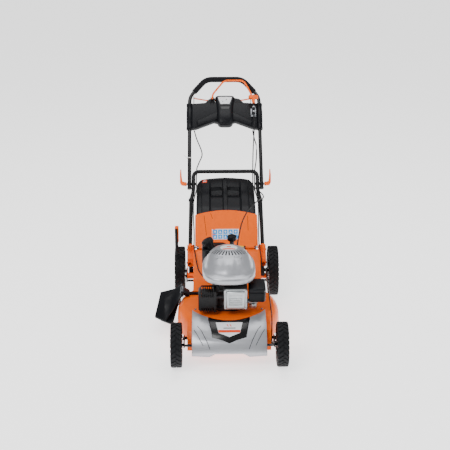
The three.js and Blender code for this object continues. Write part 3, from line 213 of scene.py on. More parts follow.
YELLOW = finish_of("yellow_tag", (0.85, 0.6, 0.03), 0.4, grain=300, depth=0.00002, vary=0.08)
# Black used for painted shade (the dark inside of the shroud, the grooves and creases) and for printed marks
# on labels.
DARK = finish_of("painted_shade_and_print_black", (0.005, 0.005, 0.006), 0.8, grain=900, depth=0.00002, vary=0.2)
ROPE_WHITE = finish_of("white_cord", (0.7, 0.7, 0.68), 0.7, grain=900, depth=0.0002, vary=0.1)
PALE_FLOOR = finish_of("floor", (0.86, 0.86, 0.86), 0.75, grain=40, depth=0.00005, vary=0.01, blotch=2)
FLOOR_GLOW = 1.6
floor_shader = PALE_FLOOR.node_tree.nodes["Principled BSDF"]
floor_shader.inputs["Emission Color"].default_value = (1, 1, 1, 1)
floor_shader.inputs["Emission Strength"].default_value = FLOOR_GLOW


# ---------------------------------------------------------------- building pieces
def settle(obj, body, material, replaced=(), angle=40):
    """Gives a finished piece its material, shading and body, and hides the CAD nodes that it stands for."""
    obj.data.materials.clear()
    obj.data.materials.append(material)
    for face in obj.data.polygons:
        face.use_smooth = True
    obj.data.set_sharp_from_angle(angle=math.radians(angle))
    if replaced:
        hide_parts(*replaced)
    if body:
        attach(obj, body)
    return obj


def mesh_object(name, points, faces):
    mesh = bpy.data.meshes.new(name)
    mesh.from_pydata([tuple(p) for p in points], [], faces)
    tidy = bmesh.new()
    tidy.from_mesh(mesh)
    bmesh.ops.remove_doubles(tidy, verts=tidy.verts, dist=1e-6)
    bmesh.ops.recalc_face_normals(tidy, faces=tidy.faces)
    tidy.to_mesh(mesh)
    tidy.free()
    obj = bpy.data.objects.new(name, mesh)
    bpy.context.scene.collection.objects.link(obj)
    return obj


def bake(obj):
    """Replaces a piece's mesh by the result of its modifiers."""
    bpy.context.view_layer.update()
    evaluated = obj.evaluated_get(bpy.context.evaluated_depsgraph_get())
    made = bpy.data.meshes.new_from_object(evaluated)
    obj.modifiers.clear()
    obj.data = made
    return obj


def bevelled(obj, width, segments=2, angle=32):
    bevel = obj.modifiers.new("bevel", "BEVEL")
    bevel.width = width * MM
    bevel.segments = segments
    bevel.limit_method = "ANGLE"
    bevel.angle_limit = math.radians(angle)
    bevel.use_clamp_overlap = True
    bevel.harden_normals = False
    return bake(obj)


def loft(rings, closed=True, caps=True):
    """Points and faces that join rings of equal count; closed rings go right round."""
    count = len(rings[0])
    points = [p for ring in rings for p in ring]
    faces = []
    last = count if closed else count - 1
    for k in range(len(rings) - 1):
        for j in range(last):
            a, b = k * count + j, k * count + (j + 1) % count
            faces.append((a, b, b + count, a + count))
    if caps and closed:
        faces.append(tuple(range(count))[::-1])
        faces.append(tuple((len(rings) - 1) * count + j for j in range(count)))
    return points, faces


def rounded(points, radius, steps=7):
    """The corners of a line of points turned into bends."""
    found = [points[0]]
    for a, b, c in zip(points, points[1:], points[2:]):
        back, ahead = a - b, c - b
        reach = min(radius * MM, back.length / 2.1, ahead.length / 2.1)
        start, end = b + back.normalized() * reach, b + ahead.normalized() * reach
        for k in range(steps + 1):
            t = k / steps
            found.append(start * (1 - t) ** 2 + b * 2 * t * (1 - t) + end * t * t)
    return found + [points[-1]]


def flowing(points, count=12):
    """A smooth curve through the points."""
    found = []
    padded = [points[0] * 2 - points[1], *points, points[-1] * 2 - points[-2]]
    for a, b, c, d in zip(padded, padded[1:], padded[2:], padded[3:]):
        for k in range(count):
            t = k / count
            found.append(0.5 * (2 * b + (c - a) * t + (2 * a - 5 * b + 4 * c - d) * t ** 2
                                + (3 * b - a - 3 * c + d) * t ** 3))
    return found + [points[-1]]


def sweep_rings(points, radius, sides=16):
    """Rings square to a line of points, carried along without twist; radius is mm or one value a point."""
    radii = radius if isinstance(radius, list) else [radius] * len(points)
    rings = []
    tangent = (points[1] - points[0]).normalized()
    side = tangent.orthogonal().normalized()
    for i, p in enumerate(points):
        along = (points[min(i + 1, len(points) - 1)] - points[max(i - 1, 0)]).normalized()
        side = (side - along * side.dot(along)).normalized()
        up = along.cross(side)
        rings.append([p + (side * math.cos(2 * math.pi * j / sides) + up * math.sin(2 * math.pi * j / sides))
                      * radii[i] * MM for j in range(sides)])
    return rings


def sweep(name, points, radius, body, material, replaced=(), sides=16):
    return settle(mesh_object(name, *loft(sweep_rings(points, radius, sides))), body, material, replaced)


def join_parts(name, parts):
    """Several (points, faces) sets as one piece."""
    points, faces = [], []
    for more_points, more_faces in parts:
        start = len(points)
        points += list(more_points)
        faces += [tuple(i + start for i in face) for face in more_faces]
    return mesh_object(name, points, faces)


def slab(outline, low, high, place):
    """An outline of (a, b) pairs between two heights; place(a, b, height) gives each point."""
    rings = [[place(a, b, height) for a, b in outline] for height in (low, high)]
    return loft(rings)


def rod(p, q, radius, sides=20):
    return loft(sweep_rings([p, q], radius, sides))


def lathe(profile, centre, sides=64, flip=1):
    """A closed profile of (radius, distance along X) pairs turned about X through centre."""
    rings = []
    for i in range(sides):
        angle = 2 * math.pi * i / sides
        c, s = math.cos(angle), math.sin(angle)
        rings.append([centre + Vector((flip * d, r * c, r * s)) * MM for r, d in profile])
    return loft(rings + [rings[0]], caps=False)


def body_of(node):
    return frame["nodes"][node]["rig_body"]


def refined(node, material, width=1.0, segments=2):
    """The CAD shape of a node with its edges rounded."""
    mesh = frame["nodes"][node].data.copy()
    work = bmesh.new()
    work.from_mesh(mesh)
    bmesh.ops.remove_doubles(work, verts=work.verts, dist=2e-6)
    bmesh.ops.dissolve_limit(work, angle_limit=math.radians(1.5), verts=work.verts, edges=work.edges)
    work.to_mesh(mesh)
    work.free()
    obj = bpy.data.objects.new(node + "_detail", mesh)
    bpy.context.scene.collection.objects.link(obj)
    if width:
        bevelled(obj, width, segments)
    return settle(obj, body_of(node), material, (node,))


# ---------------------------------------------------------------- pieces whose CAD shape is right
REFINED = [
    ("deck_shell", ORANGE, 1.2), ("front_cover", SILVER, 2.2), ("cover_insert", GLOSS_BLACK, 1.6),
    ("engine_block", CAST, 0.8), ("link_rod", TUBE, 0.4), ("valve_cover", ALUMINIUM, 1.6),
    ("muffler", CAST, 2.0),
    ("muffler_guard", EXHAUST, 1.0), ("carburettor", ALUMINIUM, 0.8), ("air_filter_box", PLASTIC, 2.0),
    ("fuel_tank", PLASTIC, 2.5), ("fuel_cap", PLASTIC, 1.2), ("oil_cap", PLASTIC, 1.2),
    ("spark_plug_lead", RUBBER, 0.0), ("crankshaft", STEEL, 0.6), ("flywheel", CAST, 0.8),
    ("blade_adapter", STEEL, 0.6), ("blade", STEEL, 0.7), ("blade_bolt", STEEL, 0.6),
    ("drive_belt", RUBBER, 0.8),
    ("gearbox_housing", CAST, 1.2), ("gearbox_pulley", STEEL, 0.5), ("drive_shaft", STEEL, 0.3),
    ("front_axle", TUBE, 0.8), ("rear_axle", TUBE, 0.8), ("height_lever", PLASTIC, 1.6),
    ("handle_bracket_left", ORANGE, 1.0), ("handle_bracket_right", ORANGE, 1.0),
    ("cam_lever_left", ORANGE_PLASTIC, 1.8), ("cam_lever_right", ORANGE_PLASTIC, 1.8),
    ("rope_guide", STEEL, 0.8),
    ("starter_grip", ORANGE_PLASTIC, 3.0), ("flap_hinge_rod", STEEL, 0.5), ("side_flap", PLASTIC, 1.2),
    ("side_hinge", PLASTIC, 1.0), ("side_chute", PLASTIC, 2.0),
]
for node, material, width in REFINED:
    refined(node, material, width)


# ---------------------------------------------------------------- tubes of the handle and its bails
def legs(points):
    return points + [Vector((2 * ORIGIN.x * MM - p.x, p.y, p.z)) for p in reversed(points)]


lower_line = legs([on_handle(-185, -28), on_handle(-180, 328), on_handle(-167.5, 376),
                   on_handle(-167.5, 493)])
upper_line = legs([on_handle(-188.6, 392), on_handle(-188.6, 953), on_handle(-100, 1066)])
lower_parts = [loft(sweep_rings(rounded(lower_line, 34), 10, 20))]
for side in (-1, 1):
    lower_parts.append(rod(on_handle(side * 153.5, 420), on_handle(side * 201, 420), 4))
    lower_parts.append(rod(on_handle(side * 152.5, 420), on_handle(side * 157.5, 420), 7.5, 6))
settle(join_parts("lower_handle_tube", lower_parts), "mower", TUBE, ("lower_handle",))
sweep("upper_handle_tube", rounded(upper_line, 34), 10, "upper_handle", TUBE, ("upper_handle",), 20)

grip_line = legs([on_handle(-164.6, 983.6), on_handle(-100, 1066)])
grip_points = rounded(grip_line, 34, 10)
grip_points = [grip_points[0], grip_points[0].lerp(grip_points[1], 0.06), *grip_points[1:-1],
               grip_points[-1].lerp(grip_points[-2], 0.06), grip_points[-1]]
grip_radii = [13] + [15.0] * (len(grip_points) - 2) + [13]
sweep("foam_grip_sleeve", grip_points, grip_radii, "upper_handle", FOAM, ("foam_grip",), 24)

bail_line = [on_handle(-66, 930, 22), on_handle(-62, 954, 28), on_handle(0, 1026, 50),
             on_handle(106, 1026, 50),
             on_handle(146, 954, 28), on_handle(150, 930, 22)]
bail_parts = [loft(sweep_rings(rounded(bail_line, 22, 9), 4.8, 14))]
bail_parts += [rod(on_handle(x - 8.6, 930, 22), on_handle(x + 8.6, 930, 22), 3, 14) for x in (-66, 150)]
settle(join_parts("drive_bail_rod", bail_parts), "drive_bail", ORANGE, ("drive_bail",))

LEAN = math.radians(-65)


def on_brake(x, reach):
    return on_handle(x, 946 + reach * math.cos(LEAN), reach * math.sin(LEAN))


brake_parts = [loft(sweep_rings(rounded(legs([on_brake(-158, 0), on_brake(-156, 22), on_brake(-88, 112)]),
                                        26, 9), 3.6, 14))]
brake_parts += [rod(on_brake(side * 156, 0), on_brake(side * 169, 0), 3, 14) for side in (-1, 1)]
settle(join_parts("brake_bail_rod", brake_parts), "brake_bail", ORANGE, ("brake_bail",))


# ---------------------------------------------------------------- cables, cords and their fittings
def cable_pair(name, upper, lower):
    """One cable across the fold: a single fixed curve through the points on both handles, standing for both
    CAD pieces, which it hides.
    """
    line = flowing(upper + lower, 8)
    obj = mesh_object(name, *loft(sweep_rings(line, 3.1, 10)))
    settle(obj, None, RUBBER, (name + "_upper", name + "_lower"))
    on_handle(0, 404)
    on_handle(0, 436)
    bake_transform(obj)


def handle_line(points):
    return [on_handle(*p) for p in points]


cable_pair(
    "brake_cable",
    handle_line([(-163, 742, -2), (-150, 690, -2), (-122, 600, 4), (-138, 540, 11), (-149, 505, 15),
                 (-150, 480, 15),
       (-152, 455, 7), (-152, 427, 0)]),
    handle_line([(-152, 413, 0), (-152, 385, 0), (-160, 350, 2), (-167, 310, 2), (-167.5, 220, 4),
                 (-164, 150, 10)])
    + [at(-163, 345, 300), at(-163, 312, 287), at(-158, 262, 266), at(-140, 160, 224), at(-112, 50, 240),
       at(-82, -20, 262)],
)
cable_pair(
    "drive_cable",
    handle_line([(150, 742, -2), (158, 690, -2), (168, 640, 0), (164, 560, 8), (156, 505, 15),
                 (152, 480, 15),
       (152, 455, 7), (152, 427, 0)]),
    handle_line([(152, 413, 0), (152, 385, 0), (160, 350, 2), (167, 310, 2), (167.5, 220, 4),
                 (164, 150, 10)])
    + [at(163, 345, 300), at(163, 312, 287), at(167, 268, 268), at(171, 236, 240), at(171, 214, 175)],
)
cable_pair(
    "starter_rope",
    handle_line([(156, 883, 47), (156, 800, 47), (156, 730, 40), (148, 600, 22), (144, 505, 16),
                 (143, 480, 15),
       (143, 455, 7), (143, 427, 0)]),
    handle_line([(143, 413, 0), (148, 398, 6), (166, 376, 15.5), (190, 350, 15), (196, 335, 10)])
    + [at(184, 480, 472), at(160, 400, 492), at(112, 310, 484), at(76, 220, 458), at(56, 130, 426),
       at(46, 66, 400)],
)


# ---------------------------------------------------------------- labels and grooves laid on a surface
RAY_START = 0.3


def ray_onto(target):
    """A function that drops a point onto a finished piece along a direction."""
    mesh = target.data
    tree = BVHTree.FromPolygons([v.co for v in mesh.vertices], [tuple(p.vertices) for p in mesh.polygons])

    def drop(point, direction, lift):
        place = tree.ray_cast(point - direction * RAY_START, direction, 2 * RAY_START)[0]
        if place is None:
            raise ValueError(f"nothing of {target.name} under {tuple(point)}")
        return place - direction * lift * MM

    return drop


def decal(name, drop, centre, right, up, outline, material, body, lift=0.45, cuts=5):
    """A thin label whose outline, in mm along right and up, follows the surface below it."""
    direction = -right.cross(up).normalized()
    work = bmesh.new()
    corners = [work.verts.new((u, v, 0)) for u, v in outline]
    work.faces.new(corners)
    bmesh.ops.triangulate(work, faces=work.faces)
    bmesh.ops.subdivide_edges(work, edges=work.edges, cuts=cuts, use_grid_fill=True)
    for vert in work.verts:
        point = centre + (right * vert.co.x + up * vert.co.y) * MM
        vert.co = drop(point, direction, lift)
    top = work.faces[:]
    grown = bmesh.ops.extrude_face_region(work, geom=top)
    for item in grown["geom"]:
        if isinstance(item, bmesh.types.BMVert):
            item.co += direction * (lift + 0.5) * MM
    bmesh.ops.recalc_face_normals(work, faces=work.faces)
    mesh = bpy.data.meshes.new(name)
    work.to_mesh(mesh)
    work.free()
    obj = bpy.data.objects.new(name, mesh)
    bpy.context.scene.collection.objects.link(obj)
    return settle(obj, body, material)


def groove(name, drop, line, direction, radius, material, body):
    """A narrow moulded line that follows the surface under a row of points."""
    points = [drop(p, direction, 0.0) for p in flowing(line, 8)]
    return sweep(name, points, radius, body, material, sides=8)


def ellipse(a, b, count=32):
    return [(a * math.cos(2 * math.pi * i / count), b * math.sin(2 * math.pi * i / count))
            for i in range(count)]


def panel(a, b):
    return [(-a, -b), (a, -b), (a, b), (-a, b)]


X, Y, Z = Vector((1, 0, 0)), Vector((0, 1, 0)), Vector((0, 0, 1))


# ---------------------------------------------------------------- wheels
def tread_block(centre, radius, pitch, turn, side):
    """One lug of the tread: from the tyre's middle out over its shoulder."""
    stations = [(1.2, radius, 0.0, 0.34), (9, radius, 0.18, 0.4), (14, radius, 0.42, 0.36),
                (22.3, radius - 0.5, 0.55, 0.4),
                (24.9, radius - 4.5, 0.55, 0.38), (24.6, radius - 13, 0.6, 0.28)]
    rings = []
    for d, top, offset, half in stations:
        low = top - 5.2 if d < 23 else top - 3.5
        ring = []
        for r, k in ((top, -half), (top, half), (low, half), (low, -half)):
            angle = turn + (offset + k) * pitch
            out = d if r == top else min(d, 22.6)
            ring.append(centre + Vector((side * out, r * math.cos(angle), r * math.sin(angle))) * MM)
        rings.append(ring)
    return loft(rings)


def tyre(node, x, y, nominal, lugs):
    centre = at(x, y, nominal)
    radius = nominal * math.cos(math.pi / 24)
    seat = nominal - 24.6
    profile = [(seat, -19.5), (radius - 16, -23.2), (radius - 7, -22.6), (radius - 4.4, -20),
               (radius - 4, 0), (radius - 4.4, 20),
               (radius - 7, 22.6), (radius - 16, 23.2), (seat, 19.5)]
    parts = [lathe(profile, centre, sides=96)]
    pitch = 2 * math.pi / lugs
    for i in range(lugs):
        parts.append(tread_block(centre, radius, pitch, i * pitch, 1))
        parts.append(tread_block(centre, radius, pitch, (i + 0.5) * pitch, -1))
    settle(join_parts(node + "_treaded", parts), body_of(node), TYRE, (node,), 35)


def rim(node, x, y, nominal, geared):
    """A moulded wheel: flat disc, ribs, hub, a cap outside and, on the driven wheels, the gear inside."""
    centre = at(x, y, nominal)
    side = 1 if x > 0 else -1
    well = nominal - 26.3
    ring_r = 75
    barrel = ring_r + 9 if geared else well - 8
    profile = [(7.2, -22), (18, -22), (18, 4), (barrel, 4), (barrel, -20), (well, -20), (well, 20),
               (well - 6, 20.5),
               (well - 8, 18), (well - 9, 9), (20, 9), (18, 12), (17, 21), (7.2, 22)]
    parts = [lathe(profile, centre, flip=side)]
    inner, outer, ribs = 17.0, well - 8.4, 10
    for i in range(ribs):
        angle = 2 * math.pi * i / ribs
        along = Vector((0, math.cos(angle), math.sin(angle)))
        across = Vector((0, -math.sin(angle), math.cos(angle)))
        rings = []
        for r, half, high in ((inner, 3.4, 19), (0.55 * (inner + outer), 2.4, 14), (outer, 3.0, 16)):
            rings.append([centre + (along * r + across * k * half) * MM + X * side * d * MM
                          for k, d in ((-1, 8), (-0.8, high), (0.8, high), (1, 8))])
        parts.append(loft(rings))
    if geared:
        teeth, tooth_pitch = 40, 2 * math.pi / 40
        phase = math.pi * (1 + 1 / teeth)
        corners = []
        for i in range(teeth):
            for offset, r in ((-0.25, ring_r + 3.8), (-0.1, ring_r - 2.8), (0.1, ring_r - 2.8),
                              (0.25, ring_r + 3.8)):
                corners.append((phase + (i + offset) * tooth_pitch, r))
        rings = []
        for grow, d in ((False, -20), (False, -7), (True, -7), (True, -20), (False, -20)):
            rings.append([centre + Vector((side * d, (barrel + 1 if grow else r) * math.cos(a),
                                           (barrel + 1 if grow else r) * math.sin(a))) * MM for a,
                                           r in corners])
        parts.append(loft(rings, caps=False))
    settle(join_parts(node + "_moulded", parts), body_of(node), RIM, (node,), 35)
    cap = [(0.01, 29.2), (7, 29), (12, 27.5), (15.4, 24), (16, 21.8), (9, 21.8), (0.01, 27.8)]
    settle(mesh_object(node + "_hub_cap", *lathe(cap, centre, flip=side)), body_of(node), GLOSS_BLACK)


for end, y, nominal, lugs in (("front", -350, 101.5, 26), ("rear", 350, 127, 32)):
    for name, x in (("left", -236), ("right", 236)):
        tyre(f"{end}_{name}_tyre", x, y, nominal, lugs)
        rim(f"{end}_{name}_rim", x, y, nominal, end == "rear")


# ---------------------------------------------------------------- engine shroud
SHROUD = [(330, 2.5, -70, 119.5, 148, 3.0), (334, 2.5, -70, 121.5, 150, 3.0),
          (352, 2.5, -70, 121.5, 150, 3.0),
          (357, 2.5, -69, 119.5, 147.5, 3.0), (360, 2.5, -67, 113, 139, 2.9), (366, 2.5, -63, 109, 131, 2.8),
          (382, 2.5, -57, 103, 120, 2.6), (398, 2.5, -49, 93, 106, 2.4), (412, 2.5, -40, 78, 87, 2.2),
          (421, 2.5, -33, 58, 64, 2.1), (426.5, 2.5, -30, 38, 42, 2.0), (429.5, 2.5, -28, 14, 16, 2.0)]


def shroud_ring(level, count=96):
    z, cx, cy, a, b, n = level
    ring = []
    for j in range(count):
        t = 2 * math.pi * (j + 0.5) / count
        c, s = math.cos(t), math.sin(t)
        x = cx + a * math.copysign(abs(c) ** (2 / n), c)
        y = cy + b * math.copysign(abs(s) ** (2 / n), s)
        ridge = 5.0 * math.exp(-((x - cx) / 26) ** 4) * min(1, max(0, (-95 - y) / 60)) * min(1,
            max(0, (z - 358) / 12))
        ring.append(at(x, y, z + ridge))
    return ring


def shroud_levels():
    levels = []
    for a, b in zip(SHROUD, SHROUD[1:]):
        for k in range(3):
            levels.append([p + (q - p) * k / 3 for p, q in zip(a, b)])
    return levels + [list(SHROUD[-1])]


def fan_slot(angle, inner, outer, half):
    """A radial slot cutter about a centre on top of the shroud."""
    c, s = math.cos(angle), math.sin(angle)
    corners = [(inner, -half * 0.7), (outer, -half), (outer, half), (inner, half * 0.7)]
    return slab([(4 + r * c - k * s, r * s + k * c) for r, k in corners], 340, 440, at)


def shroud():
    points, faces = loft([shroud_ring(level) for level in shroud_levels()])
    faces = faces[:-2] + faces[-1:]
    obj = mesh_object("engine_shroud_shell", points, faces)
    thick = obj.modifiers.new("thickness", "SOLIDIFY")
    thick.thickness = 3 * MM
    thick.offset = -1
    cutters = []
    for i in range(13):
        cutters.append(fan_slot(math.radians(-148 + i * 116 / 12), 62, 96, 3.4))
    for cx in (-40, 44):
        for i in range(6):
            for j in range(3):
                x, y = cx - 17 + i * 6, -100 - j * 6
                cutters.append(slab([(x, y), (x + 3.2, y), (x + 3.2, y + 3.2), (x, y + 3.2)], 340, 440, at))
    tool = join_parts("slot_cutters", cutters)
    cutting = obj.modifiers.new("slots", "BOOLEAN")
    cutting.operation = "DIFFERENCE"
    cutting.solver = "MANIFOLD"
    cutting.object = tool
    bake(obj)
    bpy.data.objects.remove(tool)
    return settle(obj, "mower", SILVER, ("engine_shroud",), 38)


shroud_shell = shroud()
# A dark sheet just inside the shroud's upper levels: painted shade under the shroud, so that the slots read
# dark.
painted_shade_rings = [[p + (at(2.5, -60, 330) - p) * 0.05 for p in shroud_ring(level)] for level in SHROUD[4:]]
settle(mesh_object("shroud_painted_shade", *loft(painted_shade_rings)), "mower", DARK)
drop = ray_onto(shroud_shell)
decal("shroud_badge", drop, at(4, -24, 440), X, Y, ellipse(40, 30), WHITE, "mower", cuts=3)
decal("shroud_badge_band", drop, at(4, -42, 440), X, Y, [(-25, -5), (25, -5), (31, 4), (-31, 4)], RED,
      "mower", 0.9)
decal("shroud_badge_mark", drop, at(4, -20, 440), X, Y, panel(10, 4), RED, "mower", 0.9, 2)
for x in (-88, 93):
    decal(f"shroud_corner_mark_{'left' if x < 0 else 'right'}", drop, at(x, -18, 440), X, Y, panel(5, 9),
          CAST, "mower", 0.5, 2)


# ---------------------------------------------------------------- front cover's grooves and badge
cover = bpy.data.objects["front_cover_detail"]
drop = ray_onto(cover)
SLANT = Vector((0, 0.62, -0.785)).normalized()
for side in (-1, 1):
    lines = [[(158, -322, 161), (146, -338, 151), (131, -360, 133), (117, -377, 112)],
             [(142, -303, 169), (126, -325, 160), (109, -352, 139), (96, -372, 118), (87, -385, 97)]]
    # The grooves are thin black tubes on the cover: painted shade in the moulded grooves.
    for i, line in enumerate(lines):
        groove(f"cover_groove_{'left' if side < 0 else 'right'}_{i}", drop,
               [at(side * x, y, z) for x, y, z in line],
               SLANT, 1.3, DARK, "mower")

insert = bpy.data.objects["cover_insert_detail"]
drop = ray_onto(insert)
RISE = Vector((0, 0.785, 0.62)).normalized()
badge_at = at(0, -312, 166)
decal("cover_badge", drop, badge_at, X, RISE, [(-60, 30), (60, 30), (48, -26), (0, -46), (-48, -26)], WHITE,
      "mower", 0.6, 6)
decal("cover_badge_band", drop, badge_at, X, RISE, [(-50, -12), (50, -12), (47.5, -25), (-47.5, -25)], RED,
      "mower", 1.0, 5)
decal("cover_badge_mark_left", drop, badge_at, X, RISE, [(-12, 18), (-7, 18), (-2, 6), (-5, 6)], RED,
      "mower", 1.0, 2)
decal("cover_badge_mark_right", drop, badge_at, X, RISE, [(1, 18), (6, 18), (11, 6), (7, 6)], RED, "mower",
      1.0, 2)
decal("cover_badge_bar", drop, badge_at, X, RISE, [(-26, 0), (28, 0), (28, -4), (-26, -4)], DARK, "mower",
      1.0, 3)


# ---------------------------------------------------------------- console
def console():
    wing_parts, parts = [], []
    on = on_handle

    def plate(outline, low, high):
        return slab(outline, low, high, on)

    for k in (-1, 1):
        wing = [(k * x, s) for x, s in ((34, 786), (58, 792), (150, 753), (176, 749), (176, 905), (150, 906),
                                        (58, 914), (34, 914))]
        parts.append(plate(wing, -16, 14))
        lower = [(k * x, s) for x, s in ((36, 800), (60, 796), (146, 762), (150, 790), (60, 838), (36, 846))]
        wing_parts.append(plate(lower, 8, 21))
        parts.append(plate([(k * x, s) for x,
                            s in ((50, 880), (112, 880), (108, 908), (84, 936), (50, 944))], -30, 10))
    body_mesh = join_parts("console_wings", parts)
    bevelled(body_mesh, 5, 4)
    settle(body_mesh, "upper_handle", PLASTIC, ("console",))
    ridges = join_parts("console_ridges", wing_parts)
    bevelled(ridges, 5.5, 4)
    settle(ridges, "upper_handle", PLASTIC)
    clamps = []
    for k in (-1, 1):
        line = [on(k * 188.6, s) for s in (746, 749, 760, 762, 790, 792, 862, 864, 892, 894, 905, 908)]
        radii = [14.5, 17, 17, 16, 16, 17, 17, 16, 16, 17, 17, 14.5]
        clamps.append(loft(sweep_rings(line, radii, 32)))
        bracket = ((896, -8), (946, -9), (954, -4), (954, 5), (946, 9), (896, 8))
        clamps.append(slab(bracket, k * 163.8, k * 167.4, lambda s, h, x: on(x, s, h)))
    lug = ((890, 8), (934, 8), (938, 14), (938, 26), (932, 29), (922, 29), (900, 16))
    for x in (-75, -60, 141, 156):
        clamps.append(slab(lug, x, x + 3, lambda s, h, x: on(x, s, h)))
    settle(join_parts("console_clamps", clamps), "upper_handle", PLASTIC)
    sections = [(765, 26, 10, 16), (769, 34, 18, 24), (780, 42, 24, 32), (800, 47, 28, 36),
                (825, 46, 29, 36),
                (850, 44, 29, 30), (870, 45, 29, 27), (900, 49, 29, 26), (930, 53, 29, 25),
                (944, 53, 28, 23), (951, 50, 24, 18),
                (954, 44, 16, 10)]
    rings = []
    for s, half, back, front in sections:
        ring = []
        for j in range(48):
            t = 2 * math.pi * j / 48
            c, sn = math.cos(t), math.sin(t)
            x = half * math.copysign(abs(c) ** 0.62, c)
            h = (front if sn > 0 else back) * math.copysign(abs(sn) ** 0.55, sn)
            ring.append(on(3 + x, s, h))
        rings.append(ring)
    pod = mesh_object("console_pod", *loft(rings))
    subdivision = pod.modifiers.new("smooth", "SUBSURF")
    subdivision.levels = 1
    bake(pod)
    settle(pod, "upper_handle", PLASTIC, angle=60)
    return pod


pod = console()
drop = ray_onto(pod)
ALONG = Vector((0, COS_H, SIN_H))
panel_at = on_handle(1, 916, 30)
decal("console_bezel", drop, panel_at, X, ALONG, [(-42, 27), (46, 27), (31, -29), (-26, -29)], GLOSS_BLACK,
      "upper_handle", 0.6)
decal("console_label", drop, panel_at, X, ALONG, [(-36, 22), (40, 22), (26, -23), (-21, -23)], WHITE,
      "upper_handle", 1.1)
decal("console_label_dot_left", drop, panel_at, X, ALONG, [(-12, -12), (-8, -12), (-8, -8), (-12, -8)], DARK,
      "upper_handle", 1.5, 1)
decal("console_label_dot_right", drop, panel_at, X, ALONG, [(8, 2), (12, 2), (12, 6), (8, 6)], DARK,
      "upper_handle", 1.5, 1)
decal("console_window", drop, on_handle(3, 868, 30), X, ALONG, [(-24, 8), (26, 8), (20, -9), (-18, -9)],
      GLOSS_BLACK,
      "upper_handle", 0.8)


# ---------------------------------------------------------------- rear flap
FLAP_RISE = math.atan2(130, 146)


def on_flap(x, s, h):
    """A point in the flap's own plane: s from its hinge to its tip, h above the plane."""
    c, sn = math.cos(FLAP_RISE), math.sin(FLAP_RISE)
    return at(x, 327 + s * c - h * sn, 268 + s * sn + h * c)


def flap_height(x, share):
    """The pressed panel between two creases, and the roll at the sides."""
    inner = 78 - 22 * share
    raised = 2.2 / (1 + math.exp((abs(x) - inner) / 1.2))
    outer = 1.4 / (1 + math.exp((abs(x) - 112) / 1.2))
    return 6 + raised + outer - 2.5 * max(0.0, (abs(x) - 146) / 12) ** 2


def rear_flap():
    columns, rows = 78, 26
    grid = []
    for i in range(rows + 1):
        share = i / rows
        ring = []
        for j in range(columns + 1):
            x = -158 + 316 * j / columns
            length = 203 - 24 * (x / 158) ** 2
            ring.append(on_flap(x, 4 + (length - 4) * share, flap_height(x, share)))
        grid.append(ring)
    points, faces = loft(grid, closed=False, caps=False)
    obj = mesh_object("rear_flap_sheet", points, faces)
    thick = obj.modifiers.new("thickness", "SOLIDIFY")
    thick.thickness = 2.4 * MM
    thick.offset = 0
    bake(obj)
    settle(obj, "rear_flap", ORANGE, ("rear_flap",), 30)
    parts = []
    for k in (-1, 1):
        side = ((16, 7), (16, -12), (40, -16), (168, -16), (180, -8), (180, 6))
        parts.append(slab(side, k * 155.4, k * 157.8, lambda s, h, x: on_flap(x, s, h)))
        parts.append(rod(at(k * 96, 327, 268), at(k * 140, 327, 268), 8.6, 28))
        parts.append(slab(((0, 0), (22, 5), (22, 8), (0, 8.6)), k * 96, k * 140, lambda s, h,
                          x: on_flap(x, s, h)))
    frame_piece = join_parts("rear_flap_edges", parts)
    settle(frame_piece, "rear_flap", ORANGE)
    return obj


flap = rear_flap()
drop = ray_onto(flap)
DOWN = -Z
creases = [[(-112, 452), (-107, 415), (-100.6, 368)], [(-79, 462), (-74, 450), (-70, 438)],
           [(109, 450), (110, 421), (110.4, 388)]]
# The creases are thin black tubes on the flap: painted shade in the pressed creases.
for i, line in enumerate(creases):
    groove(f"flap_crease_{i}", drop, [at(x, y, 500) for x, y in line], DOWN, 0.8, DARK, "rear_flap")
FLAP_UP = Vector((0, math.cos(FLAP_RISE), math.sin(FLAP_RISE)))
label_at = on_flap(-5, 68, 20)
decal("flap_label", drop, label_at, X, FLAP_UP, panel(68, 29), WHITE, "rear_flap", 0.5)
for column in range(5):
    for row in range(2):
        centre = label_at + (X * (-52 + 26 * column) + FLAP_UP * (-14 + 27 * row)) * MM
        decal(f"flap_label_tile_{column}_{row}", drop, centre, X, FLAP_UP, panel(10.5, 11.5), BLUE,
              "rear_flap", 0.9, 2)
        dot = ellipse(4.2, 5.5, 12) if (column + row) % 2 else [(-6, -6), (6, -6), (0, 7)]
        decal(f"flap_label_sign_{column}_{row}", drop, centre, X, FLAP_UP, dot, WHITE, "rear_flap", 1.2, 1)


# ---------------------------------------------------------------- grass catcher
LID_LINE = [(353, 276), (356, 291), (372, 307), (420, 350), (474, 396), (515, 411), (560, 422), (620, 438),
            (680, 451),
            (740, 463), (762, 466), (773, 459), (778, 440), (781, 410)]


def smooth_step(low, high, value):
    t = min(1.0, max(0.0, (value - low) / (high - low)))
    return t * t * (3 - 2 * t)


def lid_relief(x, y):
    """Raised bands at the sides, a sunken middle with two hand pockets, and the rib between them."""
    if y < 470 or y > 765:
        return 0.0
    ends = smooth_step(470, 500, y) * (1 - smooth_step(748, 765, y))
    x += 2
    band = smooth_step(80, 84, abs(x)) * (1 - smooth_step(120, 124, abs(x)))
    middle = 1 - smooth_step(74, 80, abs(x))
    rib = 1 - smooth_step(10, 13, abs(x))
    pocket = middle * (1 - rib) * smooth_step(598, 640,
                                              y) * (1 - smooth_step(676, 682, y - 0.06 * (78 - abs(x))))
    return ends * (5 * band - 3.5 * middle * (1 - rib) + 3.5 * rib) - 15 * pocket


